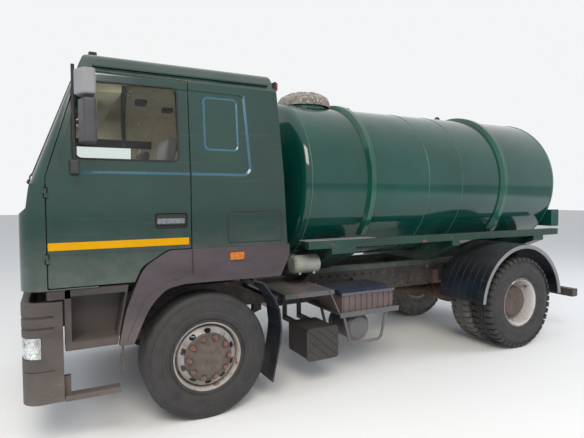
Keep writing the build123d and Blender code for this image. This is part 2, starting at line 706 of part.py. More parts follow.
def subframe():
    y0, y1 = SILL_Y
    sill = block(SIDE_RAIL_REAR_X, SILL_FRONT_X, y0, y1, RAIL_TOP_Z, SILL_TOP_Z)
    rail_in = SIDE_RAIL_Y - SIDE_RAIL_W
    rail = block(
        SIDE_RAIL_REAR_X, SIDE_RAIL_FRONT_X, rail_in, SIDE_RAIL_Y, SADDLE_TOP_Z, SADDLE_TOP_Z + SIDE_RAIL_H
    )
    pad = block(
        SIDE_RAIL_FRONT_X - 820,
        SIDE_RAIL_FRONT_X + 30,
        SIDE_RAIL_Y - 150,
        SIDE_RAIL_Y,
        SADDLE_TOP_Z + SIDE_RAIL_H,
        SADDLE_TOP_Z + SIDE_RAIL_H + 8,
    )
    half = sill + rail + pad
    whole = half + right(half)
    hollow = rod_x(0, TANK_Z, TANK_R + CRADLE_GAP, SIDE_RAIL_REAR_X - 50, SIDE_RAIL_FRONT_X + 50)
    for x, length in SADDLES:
        section = [
            (-y1, SILL_TOP_Z),
            (y1, SILL_TOP_Z),
            (SIDE_RAIL_Y, SADDLE_TOP_Z - 60),
            (SIDE_RAIL_Y, SADDLE_TOP_Z),
            (-SIDE_RAIL_Y, SADDLE_TOP_Z),
            (-SIDE_RAIL_Y, SADDLE_TOP_Z - 60),
        ]
        saddle = front_prism(section, x - length / 2, x + length / 2) - hollow
        whole += saddle
    return whole - hollow


save("subframe", subframe())


# Tank: a round shell with dished heads, worked out as one profile of X and radius
def tank_profile():
    crown, knuckle = HEAD_CROWN_R, HEAD_KNUCKLE_R
    rise = crown - sqrt((crown - knuckle) ** 2 - (TANK_R - knuckle) ** 2)
    centre_to_knuckle = crown - knuckle
    lean = atan2(TANK_R - knuckle, sqrt(centre_to_knuckle**2 - (TANK_R - knuckle) ** 2))
    corner = (lean + pi / 2) / 2

    def head(x, way):
        crown_x = x + way * (rise - crown)
        apex = (crown_x + way * crown, 0)
        on_crown = (crown_x + way * crown * cos(lean / 2), crown * sin(lean / 2))
        meet = (crown_x + way * crown * cos(lean), crown * sin(lean))
        on_knuckle = (x + way * knuckle * cos(corner), TANK_R - knuckle + knuckle * sin(corner))
        seam = (x, TANK_R)
        return apex, on_crown, meet, on_knuckle, seam

    front = head(TANK_FRONT_X, 1)
    rear = head(TANK_REAR_X, -1)
    return [
        ThreePointArc(front[0], front[1], front[2]),
        ThreePointArc(front[2], front[3], front[4]),
        Line(front[4], rear[4]),
        ThreePointArc(rear[4], rear[3], rear[2]),
        ThreePointArc(rear[2], rear[1], rear[0]),
        Line(rear[0], front[0]),
    ]


HATCH_WELL_DEPTH = 420


def tank():
    plane = Plane(origin=(0, 0, TANK_Z), x_dir=(1, 0, 0), z_dir=(0, -1, 0))
    face = make_face(plane * Curve(children=tank_profile()))
    shell = revolve(face, Axis((0, 0, TANK_Z), (1, 0, 0)))
    top = TANK_Z + TANK_R
    return shell - rod_z(HATCH_X, 0, HATCH_BORE_R, top - HATCH_WELL_DEPTH, top + 50)


tank_solid = tank()
save("tank", tank_solid)

# Stiffening bands: where each one is along the tank
BANDS = [80, -1990]


def band(x):
    base, top = BAND_W / 2, BAND_W / 2 - 25
    profile = [
        (x - base, TANK_R + SEAT_GAP),
        (x - top, TANK_R + BAND_RISE),
        (x + top, TANK_R + BAND_RISE),
        (x + base, TANK_R + SEAT_GAP),
    ]
    plane = Plane(origin=(0, 0, TANK_Z), x_dir=(1, 0, 0), z_dir=(0, -1, 0))
    ring = revolve(make_face(plane * Polyline(*profile, close=True)), Axis((0, 0, TANK_Z), (1, 0, 0)))
    # The band stops where the sills and side rails take over.
    return ring - block(x - 100, x + 100, -SIDE_RAIL_Y - 10, SIDE_RAIL_Y + 10, 1000, SADDLE_TOP_Z + SIDE_RAIL_H + 20)


# Tank fittings: neck of the filling hatch, lifting lugs, rear outlet and its hand-hole box
OUTLET_R = 55
OUTLET_Z = TANK_Z - TANK_R + 180
OUTLET_LENGTH = 150
REAR_BOX = (TANK_REAR_X - 200, TANK_REAR_X - 40, 560, 860, TANK_Z - 590, TANK_Z - 360)
LUG_X = [-200, -1720]


def neck():
    outer = HATCH_BORE_R + HATCH_WALL
    hole = rod_z(HATCH_X, 0, HATCH_BORE_R, TANK_Z - 10, HATCH_TOP_Z + 10)
    ring = rod_z(HATCH_X, 0, outer, TANK_Z, HATCH_TOP_Z) - hole
    ring -= rod_x(0, TANK_Z, TANK_R + SEAT_GAP, HATCH_X - 400, HATCH_X + 400)
    ears = []
    for x in (HATCH_X - 120, HATCH_X + 120):
        ear = block(x - 12, x + 12, LID_HINGE_Y - 16, -outer + 30, HATCH_TOP_Z - 40, HATCH_TOP_Z - 6)
        ear += rod_x(LID_HINGE_Y, HATCH_TOP_Z - 6, 16, x - 12, x + 12)
        ears.append(ear)
    pin = rod_x(LID_HINGE_Y, HATCH_TOP_Z - 6, 7, HATCH_X - 180, HATCH_X + 180)
    return ring + ears[0] + ears[1] + pin


def lifting_lug(x):
    top = TANK_Z + TANK_R
    lug = rod_y(x, top + 10, 45, -9, 9) - rod_y(x, top + 22, 15, -20, 20)
    return lug - rod_x(0, TANK_Z, TANK_R + SEAT_GAP, x - 100, x + 100)


def outlet():
    """The rear outlet pipe with its flange, low on the rear head."""
    pipe = rod_x(0, OUTLET_Z, OUTLET_R, REAR_END_X, TANK_REAR_X - 60)
    pipe += rod_x(0, OUTLET_Z, OUTLET_R + 40, REAR_END_X + OUTLET_LENGTH, REAR_END_X + OUTLET_LENGTH + 22)
    return pipe


def rear_box():
    x0, x1, y0, y1, z0, z1 = REAR_BOX
    return side_prism([(x0, z0), (x1, z0), (x1, z1), (x0, z1)], y0, y1, 18)


save(
    "tank_fittings",
    [band(x) for x in BANDS],
    neck(),
    [lifting_lug(x) for x in LUG_X],
    outlet() - tank_solid,
    rear_box() - tank_solid,
)


# Hatch lid with its hinge straps, and the crumpled cover that is tied over it
def hatch_lid():
    z0 = HATCH_TOP_Z + SEAT_GAP
    lid = rod_z(HATCH_X, 0, LID_R, z0, z0 + LID_T)
    pivot_z = HATCH_TOP_Z - 6
    for x in (HATCH_X - 160, HATCH_X + 160):
        strap = block(x - 14, x + 14, LID_HINGE_Y, -200, z0 + LID_T - 8, z0 + LID_T + 8)
        strap += block(x - 14, x + 14, LID_HINGE_Y - 14, LID_HINGE_Y + 14, pivot_z, z0 + LID_T + 8)
        strap += rod_x(LID_HINGE_Y, pivot_z, 14, x - 14, x + 14)
        strap -= rod_x(LID_HINGE_Y, pivot_z, 7 + RUN_GAP, x - 50, x + 50)
        lid += strap
    return lid


COVER_H = 98.4
COVER_FOOT_R = LID_R + 7
COVER_CROWN_R = 150


def hatch_cover():
    z0 = HATCH_TOP_Z + SEAT_GAP + LID_T + 8 + SEAT_GAP
    heap = loft(
        [
            Plane(origin=(HATCH_X, 0, z0)) * Circle(COVER_FOOT_R),
            Plane(origin=(HATCH_X - 10, 0, z0 + COVER_H)) * Circle(COVER_CROWN_R),
        ]
    )
    return heap


save("hatch_lid", hatch_lid())
save("hatch_cover", hatch_cover())

# Rear bar with its brackets, and the lamps at both ends of the truck
REAR_BAR = (-3110, -3010, 1180, 520, 620)


def rear_bar():
    x0, x1, half, z0, z1 = REAR_BAR
    bar = block(x0, x1, -half, half, z0, z1)
    for side in (1, -1):
        y0, y1 = sorted((side * (RAIL_OUT_Y - 60), side * (RAIL_OUT_Y - RAIL_FLANGE - 20)))
        bar += block(x0 + 20, x1 - 10, y0, y1, z1, RAIL_BASE_Z)
    return bar


save("rear_bar", rear_bar())


def head_lamp():
    x0, x1, y0, y1, z0, z1 = LAMP_BOX
    outer = [(BUMPER_REAR_X, -CAB_HALF_W), (FRONT_END_X - 4, -CAB_HALF_W), (FRONT_END_X - 4, CAB_HALF_W - 4)]
    outer.append((BUMPER_REAR_X, CAB_HALF_W - 4))
    lens = block(x0, x1 + 60, y0, y1, z0, z1)
    return lens & plan_prism(outer, z0, z1, [0, 1, BUMPER_CORNER_R, 0])


def tail_lamp():
    x0, x1, half, z0, z1 = REAR_BAR
    return block(x0 - 40, x0, half - 330, half - 20, z0 + 5, z1 - 5)


save("lamps", both_sides(head_lamp()), both_sides(tail_lamp()))


# Cab. Its skin is one tapered form, made again smaller for the space inside.
SIDE_LEAN = SHOULDER_IN / (SHOULDER_Z - BELT_Z)


def side_y(z, inset):
    """Where the cab's side stands at a height, moved inwards by the inset."""
    return CAB_HALF_W - inset - max(0, z - BELT_Z) * SIDE_LEAN


def screen_x(z, inset):
    """Where the raked plane of the windscreen stands at a height."""
    return SCREEN_FOOT[0] - inset - (z - SCREEN_FOOT[1]) * SCREEN_RAKE


def cab_section(inset, x0, x1):
    """The cab seen from ahead, moved inwards by the inset and drawn out from x0 to x1."""
    half = CAB_HALF_W - inset
    base = CAB_FLOOR_Z - 300 + inset
    section = [
        (-half, base),
        (half, base),
        (half, BELT_Z),
        (half - SHOULDER_IN, SHOULDER_Z),
        (half - ROOF_EDGE_IN, ROOF_EDGE_Z + 5 - inset),
        (0, ROOF_TOP_Z - inset),
        (-half + ROOF_EDGE_IN, ROOF_EDGE_Z + 5 - inset),
        (-half + SHOULDER_IN, SHOULDER_Z),
        (-half, BELT_Z),
    ]
    return front_prism(section, x0, x1, [0, 0, 300, 60, 120, 1500, 120, 60, 300])


def cab_form(inset):
    """The cab's outer form, with every face moved inwards by the inset."""
    half = CAB_HALF_W - inset
    front = CAB_FRONT_X - inset
    brow = SCREEN_FOOT[1]
    base = CAB_FLOOR_Z - 300 + inset
    rear = CAB_REAR_X + inset
    corner = 150 - inset
    body = cab_section(inset, rear, front + 10)
    over = ROOF_TOP_Z + 60
    forehead = ROOF_EDGE_Z - 15
    side = [
        (rear, base),
        (front, base),
        (front, CAB_BROW_Z),
        (CAB_BROW_X - inset, CAB_BROW_Z + 45),
        (SCREEN_FOOT[0] - inset, brow),
        (screen_x(forehead, inset), forehead),
        (screen_x(forehead + 20, inset) - 260, over),
        (rear + 140, over),
        (rear + 100, ROOF_SPLIT_Z - 5),
    ]
    side_radii = [0, 0, 20, 20, 400, 60, 300, 60, 400]
    body = body & side_prism(side, -half - 10, half + 10, side_radii)
    lower = [(rear - 10, -half), (front, -half), (front, half), (rear - 10, half)]
    lower_plan = plan_prism(lower, base, brow, [0, corner, corner, 0])
    upper_x = SCREEN_FOOT[0] - inset
    upper = [(rear - 400, -half), (upper_x, -half), (upper_x, half), (rear - 400, half)]
    plane = Plane(origin=(0, 0, brow), x_dir=(1, 0, 0), z_dir=(0, 0, 1))
    top = OVER_Z - 100 - brow
    reach = hypot(top, top * SCREEN_RAKE)
    upper_face = make_face(plane * FilletPolyline(*upper, radius=[0, 110 - inset, 110 - inset, 0], close=True))
    upper_plan = extrude(upper_face, amount=reach, dir=Vector(-SCREEN_RAKE, 0, 1).normalized())
    middle = block(rear - 10, front + 10, -half - 10, half + 10, base, brow)
    return (body & middle & lower_plan) + ((body - middle) & upper_plan)


cab_outer = cab_form(0)
cab_inner = cab_form(CAB_WALL)


def side_layer(near, far, z0, z1):
    """A thin layer along the cab's left side, from one inset to a deeper one."""
    heights = [z0, z1] if z0 >= BELT_Z or z1 <= BELT_Z else [z0, BELT_Z, z1]
    outer = [(side_y(z, near), z) for z in heights]
    inner = [(side_y(z, far), z) for z in reversed(heights)]
    return front_prism(outer + inner, BEHIND_X, AHEAD_X)


# The cab's side ends on the floor line ahead of the wheel and on the arch trim above it.
# Each arch point is given by its distance from the front axle and its height.
ARCH_OUTER = [(320, CAB_SIDE_Z - 3), (520, 1330), (655, 1005), (706, 745)]
ARCH_INNER = [(603, 738), (470, 1040), (340, 1148), (200, 1174)]


def from_axle(points):
    return [(FRONT_AXLE_X + dx, z) for dx, z in points]


def door_outline(grow):
    """The door seen from the side, made larger all round by the growth."""
    g = grow
    return [
        (DOOR_FRONT_X - DOOR_GAP / 2 + g, DOOR_BASE_Z - g),
        (DOOR_FRONT_X - DOOR_GAP / 2 + g, BELT_Z - 40),
        (DOOR_FRONT_X - 181 + g, DOOR_TOP_Z - 207),
        (DOOR_FRONT_X - 324 + g, DOOR_TOP_Z + g),
        (DOOR_REAR_X + DOOR_GAP - g, DOOR_TOP_Z + g),
        (DOOR_REAR_X + DOOR_GAP - g, CAB_SIDE_Z + DOOR_GAP - g),
        (FRONT_AXLE_X + 330 - g, CAB_SIDE_Z + DOOR_GAP - g),
        (FRONT_AXLE_X + 530 - g * 0.6, CAB_SIDE_Z - 115 - g * 0.6),
        (FRONT_AXLE_X + 585 - g, DOOR_BASE_Z - g),
    ]


DOOR_RADII = [12, 200, 60, 60, 30, 12, 90, 120, 12]


def door_cut(grow):
    return side_prism(door_outline(grow), CAB_HALF_W - 250, SIDE_REACH, DOOR_RADII)


ARCH_END_X = FRONT_AXLE_X + 607
cab_shell = cab_outer - cab_inner
cab_base = block(BEHIND_X, ARCH_END_X, -SIDE_REACH, SIDE_REACH, BENEATH_Z, CAB_SIDE_Z)
# The doors come down beside the arch trims, below the line where the rest of the side ends.
cab_base = cab_base - door_cut(1) - right(door_cut(1))
cab_base += block(ARCH_END_X - 7, AHEAD_X, -SIDE_REACH, SIDE_REACH, BENEATH_Z, CAB_FLOOR_Z)
cab_shell = cab_shell - cab_base
roof_zone = block(BEHIND_X, AHEAD_X, -SIDE_REACH, SIDE_REACH, ROOF_SPLIT_Z, OVER_Z)
cab_roof = cab_shell & roof_zone
cab_walls = cab_shell - roof_zone

# Everything between the two inner side faces belongs to the front and rear walls.
between = cab_section(CAB_WALL, BEHIND_X, AHEAD_X)
CAB_MIDDLE_X = DOOR_REAR_X + 63
cab_back = cab_walls & between & block(BEHIND_X, CAB_MIDDLE_X, -SIDE_REACH, SIDE_REACH, BENEATH_Z, OVER_Z)
GUTTER_Z = ROOF_SPLIT_Z + 40


def gutter():
    """A lip along the left edge of the roof."""
    y = CAB_HALF_W - 78
    section = [(y - 60, GUTTER_Z - 4), (y - 4, GUTTER_Z - 4), (y, GUTTER_Z + 8), (y - 10, GUTTER_Z + 12), (y - 60, GUTTER_Z + 12)]
    return front_prism(section, CAB_REAR_X + 170, DOOR_FRONT_X - 330)


left_gutter = gutter() - cab_inner
cab_roof = cab_roof + left_gutter + right(left_gutter)
save("cab_roof", cab_roof)
save("cab_back", cab_back)

side_walls = cab_walls - between
# Pressings behind the door, as distances behind the door's rear edge: x0, x1, z0, z1
BLANK_WINDOW = (-415, -119, BELT_Z + 200, DOOR_TOP_Z - 105)
LOCKER_LID = (-804, -303, CAB_SIDE_Z + 32, CAB_SIDE_Z + 299)
PRESS_DEPTH = 5
RECESS_DEPTH = 8
RECESS_END_X = DOOR_REAR_X - 520


def rounded_panel(row, grow, radius):
    """A rounded rectangle on the cab's left side, made larger all round by the growth."""
    x0, x1, z0, z1 = row
    x0, x1 = DOOR_REAR_X + x0 - grow, DOOR_REAR_X + x1 + grow
    z0, z1 = z0 - grow, z1 + grow
    corners = [(x0, z0), (x1, z0), (x1, z1), (x0, z1)]
    return side_prism(corners, CAB_HALF_W - 150, SIDE_REACH, radius + grow)


def pressed_ring(row, radius, width):
    """A shallow groove that follows a rounded outline on the cab's side."""
    return rounded_panel(row, 0, radius) - rounded_panel(row, -width, radius)


def belt_recess():
    """The upper side stands back a little from the belt line up, from a slanted edge behind the blank window."""
    outline_points = [
        (RECESS_END_X, BELT_Z - 6),
        (DOOR_FRONT_X - 60, BELT_Z - 6),
        (DOOR_FRONT_X - 260, DOOR_TOP_Z - 70),
        (RECESS_END_X + 45, DOOR_TOP_Z - 70),
    ]
    zone = side_prism(outline_points, CAB_HALF_W - 150, SIDE_REACH, [70, 90, 60, 60])
    return zone & side_layer(-20, RECESS_DEPTH, BELT_Z - 20, DOOR_TOP_Z)


recess = belt_recess()


def cab_side():
    """The left side behind the door, with its pressed window outline and locker lid."""
    wall = side_walls & block(BEHIND_X, DOOR_REAR_X, 0, SIDE_REACH, BENEATH_Z, OVER_Z)
    wall -= recess
    wall -= pressed_ring(BLANK_WINDOW, 40, 14) & side_layer(0, RECESS_DEPTH + PRESS_DEPTH, BELT_Z, DOOR_TOP_Z)
    wall -= pressed_ring(LOCKER_LID, 30, 6) & side_layer(-PRESS_DEPTH, PRESS_DEPTH, CAB_SIDE_Z, BELT_Z)
    return wall


save("cab_sides", both_sides(cab_side()))

# Front wall with both front corners, the windscreen opening and a seat for the grille panel
SCREEN_BASE_Z = BELT_Z - 20
SCREEN_HEAD_Z = ROOF_SPLIT_Z - 40
SCREEN_HALF_W = CAB_HALF_W - 165
PANEL_HALF_W = CAB_HALF_W - 250
PANEL_BASE_Z = CAB_FLOOR_Z + 10
PANEL_TOP_Z = CAB_BROW_Z - 8
PANEL_BACK_X = CAB_FRONT_X - 47
GRILLE_HINGE = (CAB_FRONT_X - 27, PANEL_TOP_Z + 14)
PANEL_HINGE_Y = (-700, 700)


def screen_outline(y_margin, z_margin):
    half = SCREEN_HALF_W + y_margin
    return [
        (-half, SCREEN_BASE_Z - z_margin),
        (half, SCREEN_BASE_Z - z_margin),
        (half - 55, SCREEN_HEAD_Z + z_margin),
        (-half + 55, SCREEN_HEAD_Z + z_margin),
    ]


screen_cut = front_prism(screen_outline(0, 0), screen_x(OVER_Z, 0), AHEAD_X, 60)


def hinge_station(z):
    """The cab's half of one door hinge: pocket, leaf, barrel and pin."""
    axis = (DOOR_FRONT_X, HINGE_AXIS_Y)
    pocket = rod_z(axis[0], axis[1], 15, z - 40, z + 40)
    leaf = block(axis[0], axis[0] + 20, axis[1] - 3, axis[1] + 3, z + 1, z + 32)
    barrel = rod_z(axis[0], axis[1], 9, z + 1, z + 32)
    pin = rod_z(axis[0], axis[1], 4, z - 31, z + 2)
    return pocket, leaf + barrel + pin


HINGE_Z = [DOOR_BASE_Z + 208, BELT_Z - 150]


def cab_front():
    wall = cab_walls & block(CAB_MIDDLE_X, AHEAD_X, -SIDE_REACH, SIDE_REACH, BENEATH_Z, OVER_Z)
    corner = side_walls & block(DOOR_FRONT_X - 330, AHEAD_X, 0, SIDE_REACH, BENEATH_Z, OVER_Z)
    corner -= door_cut(DOOR_GAP)
    front = (wall & between) + corner + right(corner)
    front -= screen_cut
    seat_x = PANEL_BACK_X - 6
    front -= block(seat_x, AHEAD_X, -PANEL_HALF_W - 6, PANEL_HALF_W + 6, BENEATH_Z, PANEL_TOP_Z + 38)
    hinge_x, hinge_z = GRILLE_HINGE
    for y in PANEL_HINGE_Y:
        for ear_y in (y - 44, y + 32):
            ear = block(seat_x - 4, hinge_x + 8, ear_y, ear_y + 12, hinge_z - 8, hinge_z + 8)
            front += ear
        front += rod_y(hinge_x, hinge_z, 4, y - 44, y + 44)
    for z in HINGE_Z:
        pocket, leaf = hinge_station(z)
        front = front - pocket - right(pocket) + leaf + right(leaf)
    return front


save("cab_front", cab_front())
GLASS_NEAR = 24
GLASS_FAR = 30


def windscreen():
    z0, z1 = SCREEN_BASE_Z - 20, SCREEN_HEAD_Z + 20
    pane = [
        (screen_x(z0, GLASS_NEAR), z0),
        (screen_x(z1, GLASS_NEAR), z1),
        (screen_x(z1, GLASS_FAR), z1),
        (screen_x(z0, GLASS_FAR), z0),
    ]
    return side_prism(pane, -SCREEN_HALF_W - 20, SCREEN_HALF_W + 20) & screen_cut


save("windscreen", windscreen())


# Cab floor: low under the driver's feet, raised over the wheels, with the engine tunnel between
def cab_floor():
    wall = CAB_HALF_W - CAB_WALL
    tunnel = TUNNEL_HALF_W + 30
    low, high, top = CAB_FLOOR_Z, CAB_SIDE_Z, TUNNEL_TOP_Z
    t = FLOOR_T

    def hat(level):
        return [
            (-wall, level),
            (-tunnel + t, level),
            (-tunnel + t, top),
            (tunnel - t, top),
            (tunnel - t, level),
            (wall, level),
            (wall, level + t),
            (tunnel, level + t),
            (tunnel, top + t),
            (-tunnel, top + t),
            (-tunnel, level + t),
            (-wall, level + t),
        ]

    step_x = ARCH_END_X
    front_x = CAB_FRONT_X - 130
    floor = front_prism(hat(low), step_x, front_x)
    floor += front_prism(hat(high), CAB_REAR_X + CAB_WALL, step_x)
    for side in (1, -1):
        y0, y1 = sorted((side * (tunnel - t), side * wall))
        floor += block(step_x - t, step_x, y0, y1, low, high + t)
        l0, l1 = sorted((side * PIVOT_LUG_Y[0], side * PIVOT_LUG_Y[1]))
        lug_side = [
            (TILT_X - 28, TILT_Z),
            (TILT_X + 22, TILT_Z + 16),
            (TILT_X - 60, low),
            (TILT_X - 60, low + t),
            (TILT_X - 150, low + t),
            (TILT_X - 150, low),
        ]
        lug = side_prism(lug_side, l0, l1) + rod_y(TILT_X, TILT_Z, 28, l0, l1)
        floor += lug - rod_y(TILT_X, TILT_Z, PIVOT_PIN_R + RUN_GAP, l0 - 5, l1 + 5)
    return (floor & cab_inner) - cab_front_solid


cab_front_solid = cab_front()
save("cab_floor", cab_floor())

# Dark trims of the cab: arch over the front wheel and the recessed step well ahead of it
TRIM_T = 60
TRIM_PROUD = 6


def arch_trim():
    top = CAB_SIDE_Z
    rear = CAB_REAR_X + 12
    outer, inner = from_axle(ARCH_OUTER), from_axle(ARCH_INNER)
    foot = (rear + 88, ARCH_INNER[-1][1] - 4)
    shape = [(rear, top), (outer[0][0], top), *outer[1:], *inner, foot, (rear, top - 104)]
    radii = [0, 120, 260, 600, 0, 0, 500, 160, 200, 20, 20]
    trim = side_prism(shape, CAB_HALF_W - TRIM_T, CAB_HALF_W + TRIM_PROUD, radii)
    # The pressed line that runs round the arch
    ridge = [(dx + 52, z + 48) for dx, z in ARCH_INNER[:3]]
    ridge = from_axle([*ridge, (215, 1236), (215, 1226), (357, 1185), (514, 1079), (647, 780)])
    trim -= side_prism(ridge, CAB_HALF_W + TRIM_PROUD - 3, CAB_HALF_W + TRIM_PROUD + 5)
    lip = [foot, *reversed(inner), (inner[0][0] + 18, inner[0][1] + 7), (inner[1][0] + 18, inner[1][1] + 12)]
    lip += [(inner[2][0] + 10, inner[2][1] + 18), (inner[3][0] + 4, inner[3][1] + 20), (foot[0] - 5, foot[1] + 20)]
    trim += side_prism(lip, CAB_HALF_W - 250, CAB_HALF_W - TRIM_T)
    return trim + block(rear + 83, FRONT_AXLE_X + 180, CAB_HALF_W - 120, CAB_HALF_W - TRIM_T, foot[1] + 10, top)


WELL_REAR_X = FRONT_AXLE_X + 728
WELL_Z = (CAB_FLOOR_Z - 450, CAB_FLOOR_Z)
WELL_Y = (CAB_HALF_W - 230, CAB_HALF_W - 10)


def step_well():
    """A step well open to the side, below the door, with a tread at its foot."""
    x1 = BUMPER_REAR_X - 12
    z0, z1 = WELL_Z
    y0, y1 = WELL_Y
    well = block(WELL_REAR_X, x1, y0, y1, z0, z1)
    well -= block(WELL_REAR_X + 12, x1 - 45, y0 + 14, y1 + 10, z0 + 62, z1 - 55)
    well += block(x1 - 45, DOOR_FRONT_X + 12, y1 - 30, y1, BUMPER_TOP_Z + 15, z1)
    return well


def closing_panel():
    """The panel that closes the space between the step well and the leaning edge of the arch trim."""
    z0, z1 = WELL_Z
    edge = [(WELL_REAR_X - 12, z0), (WELL_REAR_X - 100, z1)]
    return side_prism([(WELL_REAR_X, z0), (WELL_REAR_X, z1), *reversed(edge)], *WELL_Y)


# Side marker lamps on the arch trims
SIDE_LAMP = (CAB_REAR_X + 450, CAB_REAR_X + 572, CAB_SIDE_Z - 107, CAB_SIDE_Z - 45)


def cab_lamps():
    x0, x1, z0, z1 = SIDE_LAMP
    near = CAB_HALF_W + TRIM_PROUD
    return side_prism([(x0, z0), (x1, z0), (x1, z1), (x0, z1)], near, near + 16, 8)


trims = [both_sides(arch_trim()), both_sides(step_well()), both_sides(cab_lamps()), both_sides(closing_panel())]
save("cab_trims", *trims)

# Cab inside: dashboard, seats, bunk and steering wheel
SEAT_Y = 660


def dashboard():
    foot_z = CAB_FLOOR_Z + FLOOR_T
    back = CAB_FRONT_X - 134
    top = BELT_Z - 65
    shape = [
        (back - 135, foot_z),
        (back, foot_z),
        (back - 10, top - 85),
        (back - 75, top),
        (back - 255, top - 25),
        (back - 315, top - 105),
        (back - 255, top - 285),
        (back - 135, top - 365),
    ]
    half = CAB_HALF_W - CAB_WALL - 10
    board = side_prism(shape, -half, half, [0, 0, 25, 25, 25, 25, 25, 25]) & cab_inner
    tunnel_y = TUNNEL_HALF_W + 31
    return board - block(back - 400, back + 85, -tunnel_y, tunnel_y, foot_z - 10, TUNNEL_TOP_Z + FLOOR_T + 1)


def seat():
    """The base, and the cushion with its back."""
    base = block(2280, 2640, SEAT_Y - 190, SEAT_Y + 190, CAB_SIDE_Z + 40, 1640)
    cushion = side_prism([(2230, 1640.3), (2740, 1640.3), (2750, 1740), (2250, 1770)], SEAT_Y - 250, SEAT_Y + 250, 25)
    back = side_prism([(2240, 1700), (2350, 1700), (2235, 2420), (2120, 2400)], SEAT_Y - 240, SEAT_Y + 240, 30)
    return base, cushion + back


def bunk():
    half = CAB_HALF_W - CAB_WALL - 8
    return block(1375, 1860, -half, half, TUNNEL_TOP_Z + FLOOR_T, 1760)


dash_solid = dashboard()
save("dashboard", dash_solid)
seat_base, seat_cushion = seat()
save("seat_bases", both_sides(seat_base))
save("seat_cushions", both_sides(seat_cushion), bunk())

WHEEL_RIM_R = 235
STEER_CENTRE = (2800, SEAT_Y, 1985)
STEER_TILT = 30


def steering_wheel():
    x, y, z = STEER_CENTRE
    place = Pos(x, y, z) * Rot(0, -STEER_TILT, 0)
    grip = Plane.XZ * Pos(WHEEL_RIM_R, 0) * RegularPolygon(15, 8)
    rim = place * revolve(grip, Axis.Z)
    hub = place * Cylinder(50, 40)
    wheel = rim + hub
    for turn in (0, 120, 240):
        spoke = place * Rot(0, 0, turn) * Pos(WHEEL_RIM_R / 2, 0, -4) * Box(WHEEL_RIM_R, 34, 14)
        wheel += spoke
    return wheel


def steering_column():
    x, y, z = STEER_CENTRE
    return Pos(x, y, z) * Rot(0, -STEER_TILT, 0) * Pos(0, 0, -18 - 130) * Cylinder(30, 260)


save("steering_wheel", steering_wheel() + (steering_column() - dash_solid))


# Doors
def door_window():
    rear = DOOR_REAR_X + 95
    foot, head = BELT_Z + 100, DOOR_TOP_Z - 65
    front = DOOR_FRONT_X - 199
    shape = [(rear, foot), (front, foot), (front + 10, foot + 270), (front - 113, head - 7), (rear, head)]
    return side_prism(shape, CAB_HALF_W - 250, SIDE_REACH, [45, 45, 120, 60, 45])


HANDLE = (DOOR_REAR_X + 37, DOOR_REAR_X + 289, CAB_SIDE_Z + 171, CAB_SIDE_Z + 292)
HANDLE_DEPTH = 22


def door():
    leaf = side_walls & door_cut(0)
    leaf -= door_window()
    x0, x1, z0, z1 = HANDLE
    leaf -= side_prism([(x0, z0), (x1, z0), (x1, z1), (x0, z1)], CAB_HALF_W - HANDLE_DEPTH, SIDE_REACH, 20)
    leaf -= recess
    # The crease that runs along the door under the stripe
    leaf -= block(FRONT_AXLE_X + 345, DOOR_FRONT_X - 10, CAB_HALF_W - 4, SIDE_REACH, CAB_SIDE_Z + 2, CAB_SIDE_Z + 10)
    for z in HINGE_Z:
        leaf -= rod_z(DOOR_FRONT_X, HINGE_AXIS_Y, 15, z - 40, z + 40)
        strap = block(DOOR_FRONT_X - 20, DOOR_FRONT_X, HINGE_AXIS_Y - 3, HINGE_AXIS_Y + 3, z - 31, z + 0.5)
        strap += rod_z(DOOR_FRONT_X, HINGE_AXIS_Y, 9, z - 31, z + 0.5)
        leaf += strap - rod_z(DOOR_FRONT_X, HINGE_AXIS_Y, 4 + RUN_GAP, z - 40, z + 10)
    return leaf


door_left = door()
save("door_left", door_left)
save("door_right", right(door_left))
door_glass = side_layer(GLASS_NEAR, GLASS_FAR, BELT_Z + 50, DOOR_TOP_Z - 17) & door_window()
save("door_glass_left", door_glass)
save("door_glass_right", right(door_glass))


# Mirror housings: name, reach outwards from the tube, base z, top z, how far the front bulges
MIRRORS = [
    ("main", 185, BELT_Z + 190, BELT_Z + 490, 0),
    ("wide angle", 175, BELT_Z + 515, BELT_Z + 690, 25),
]


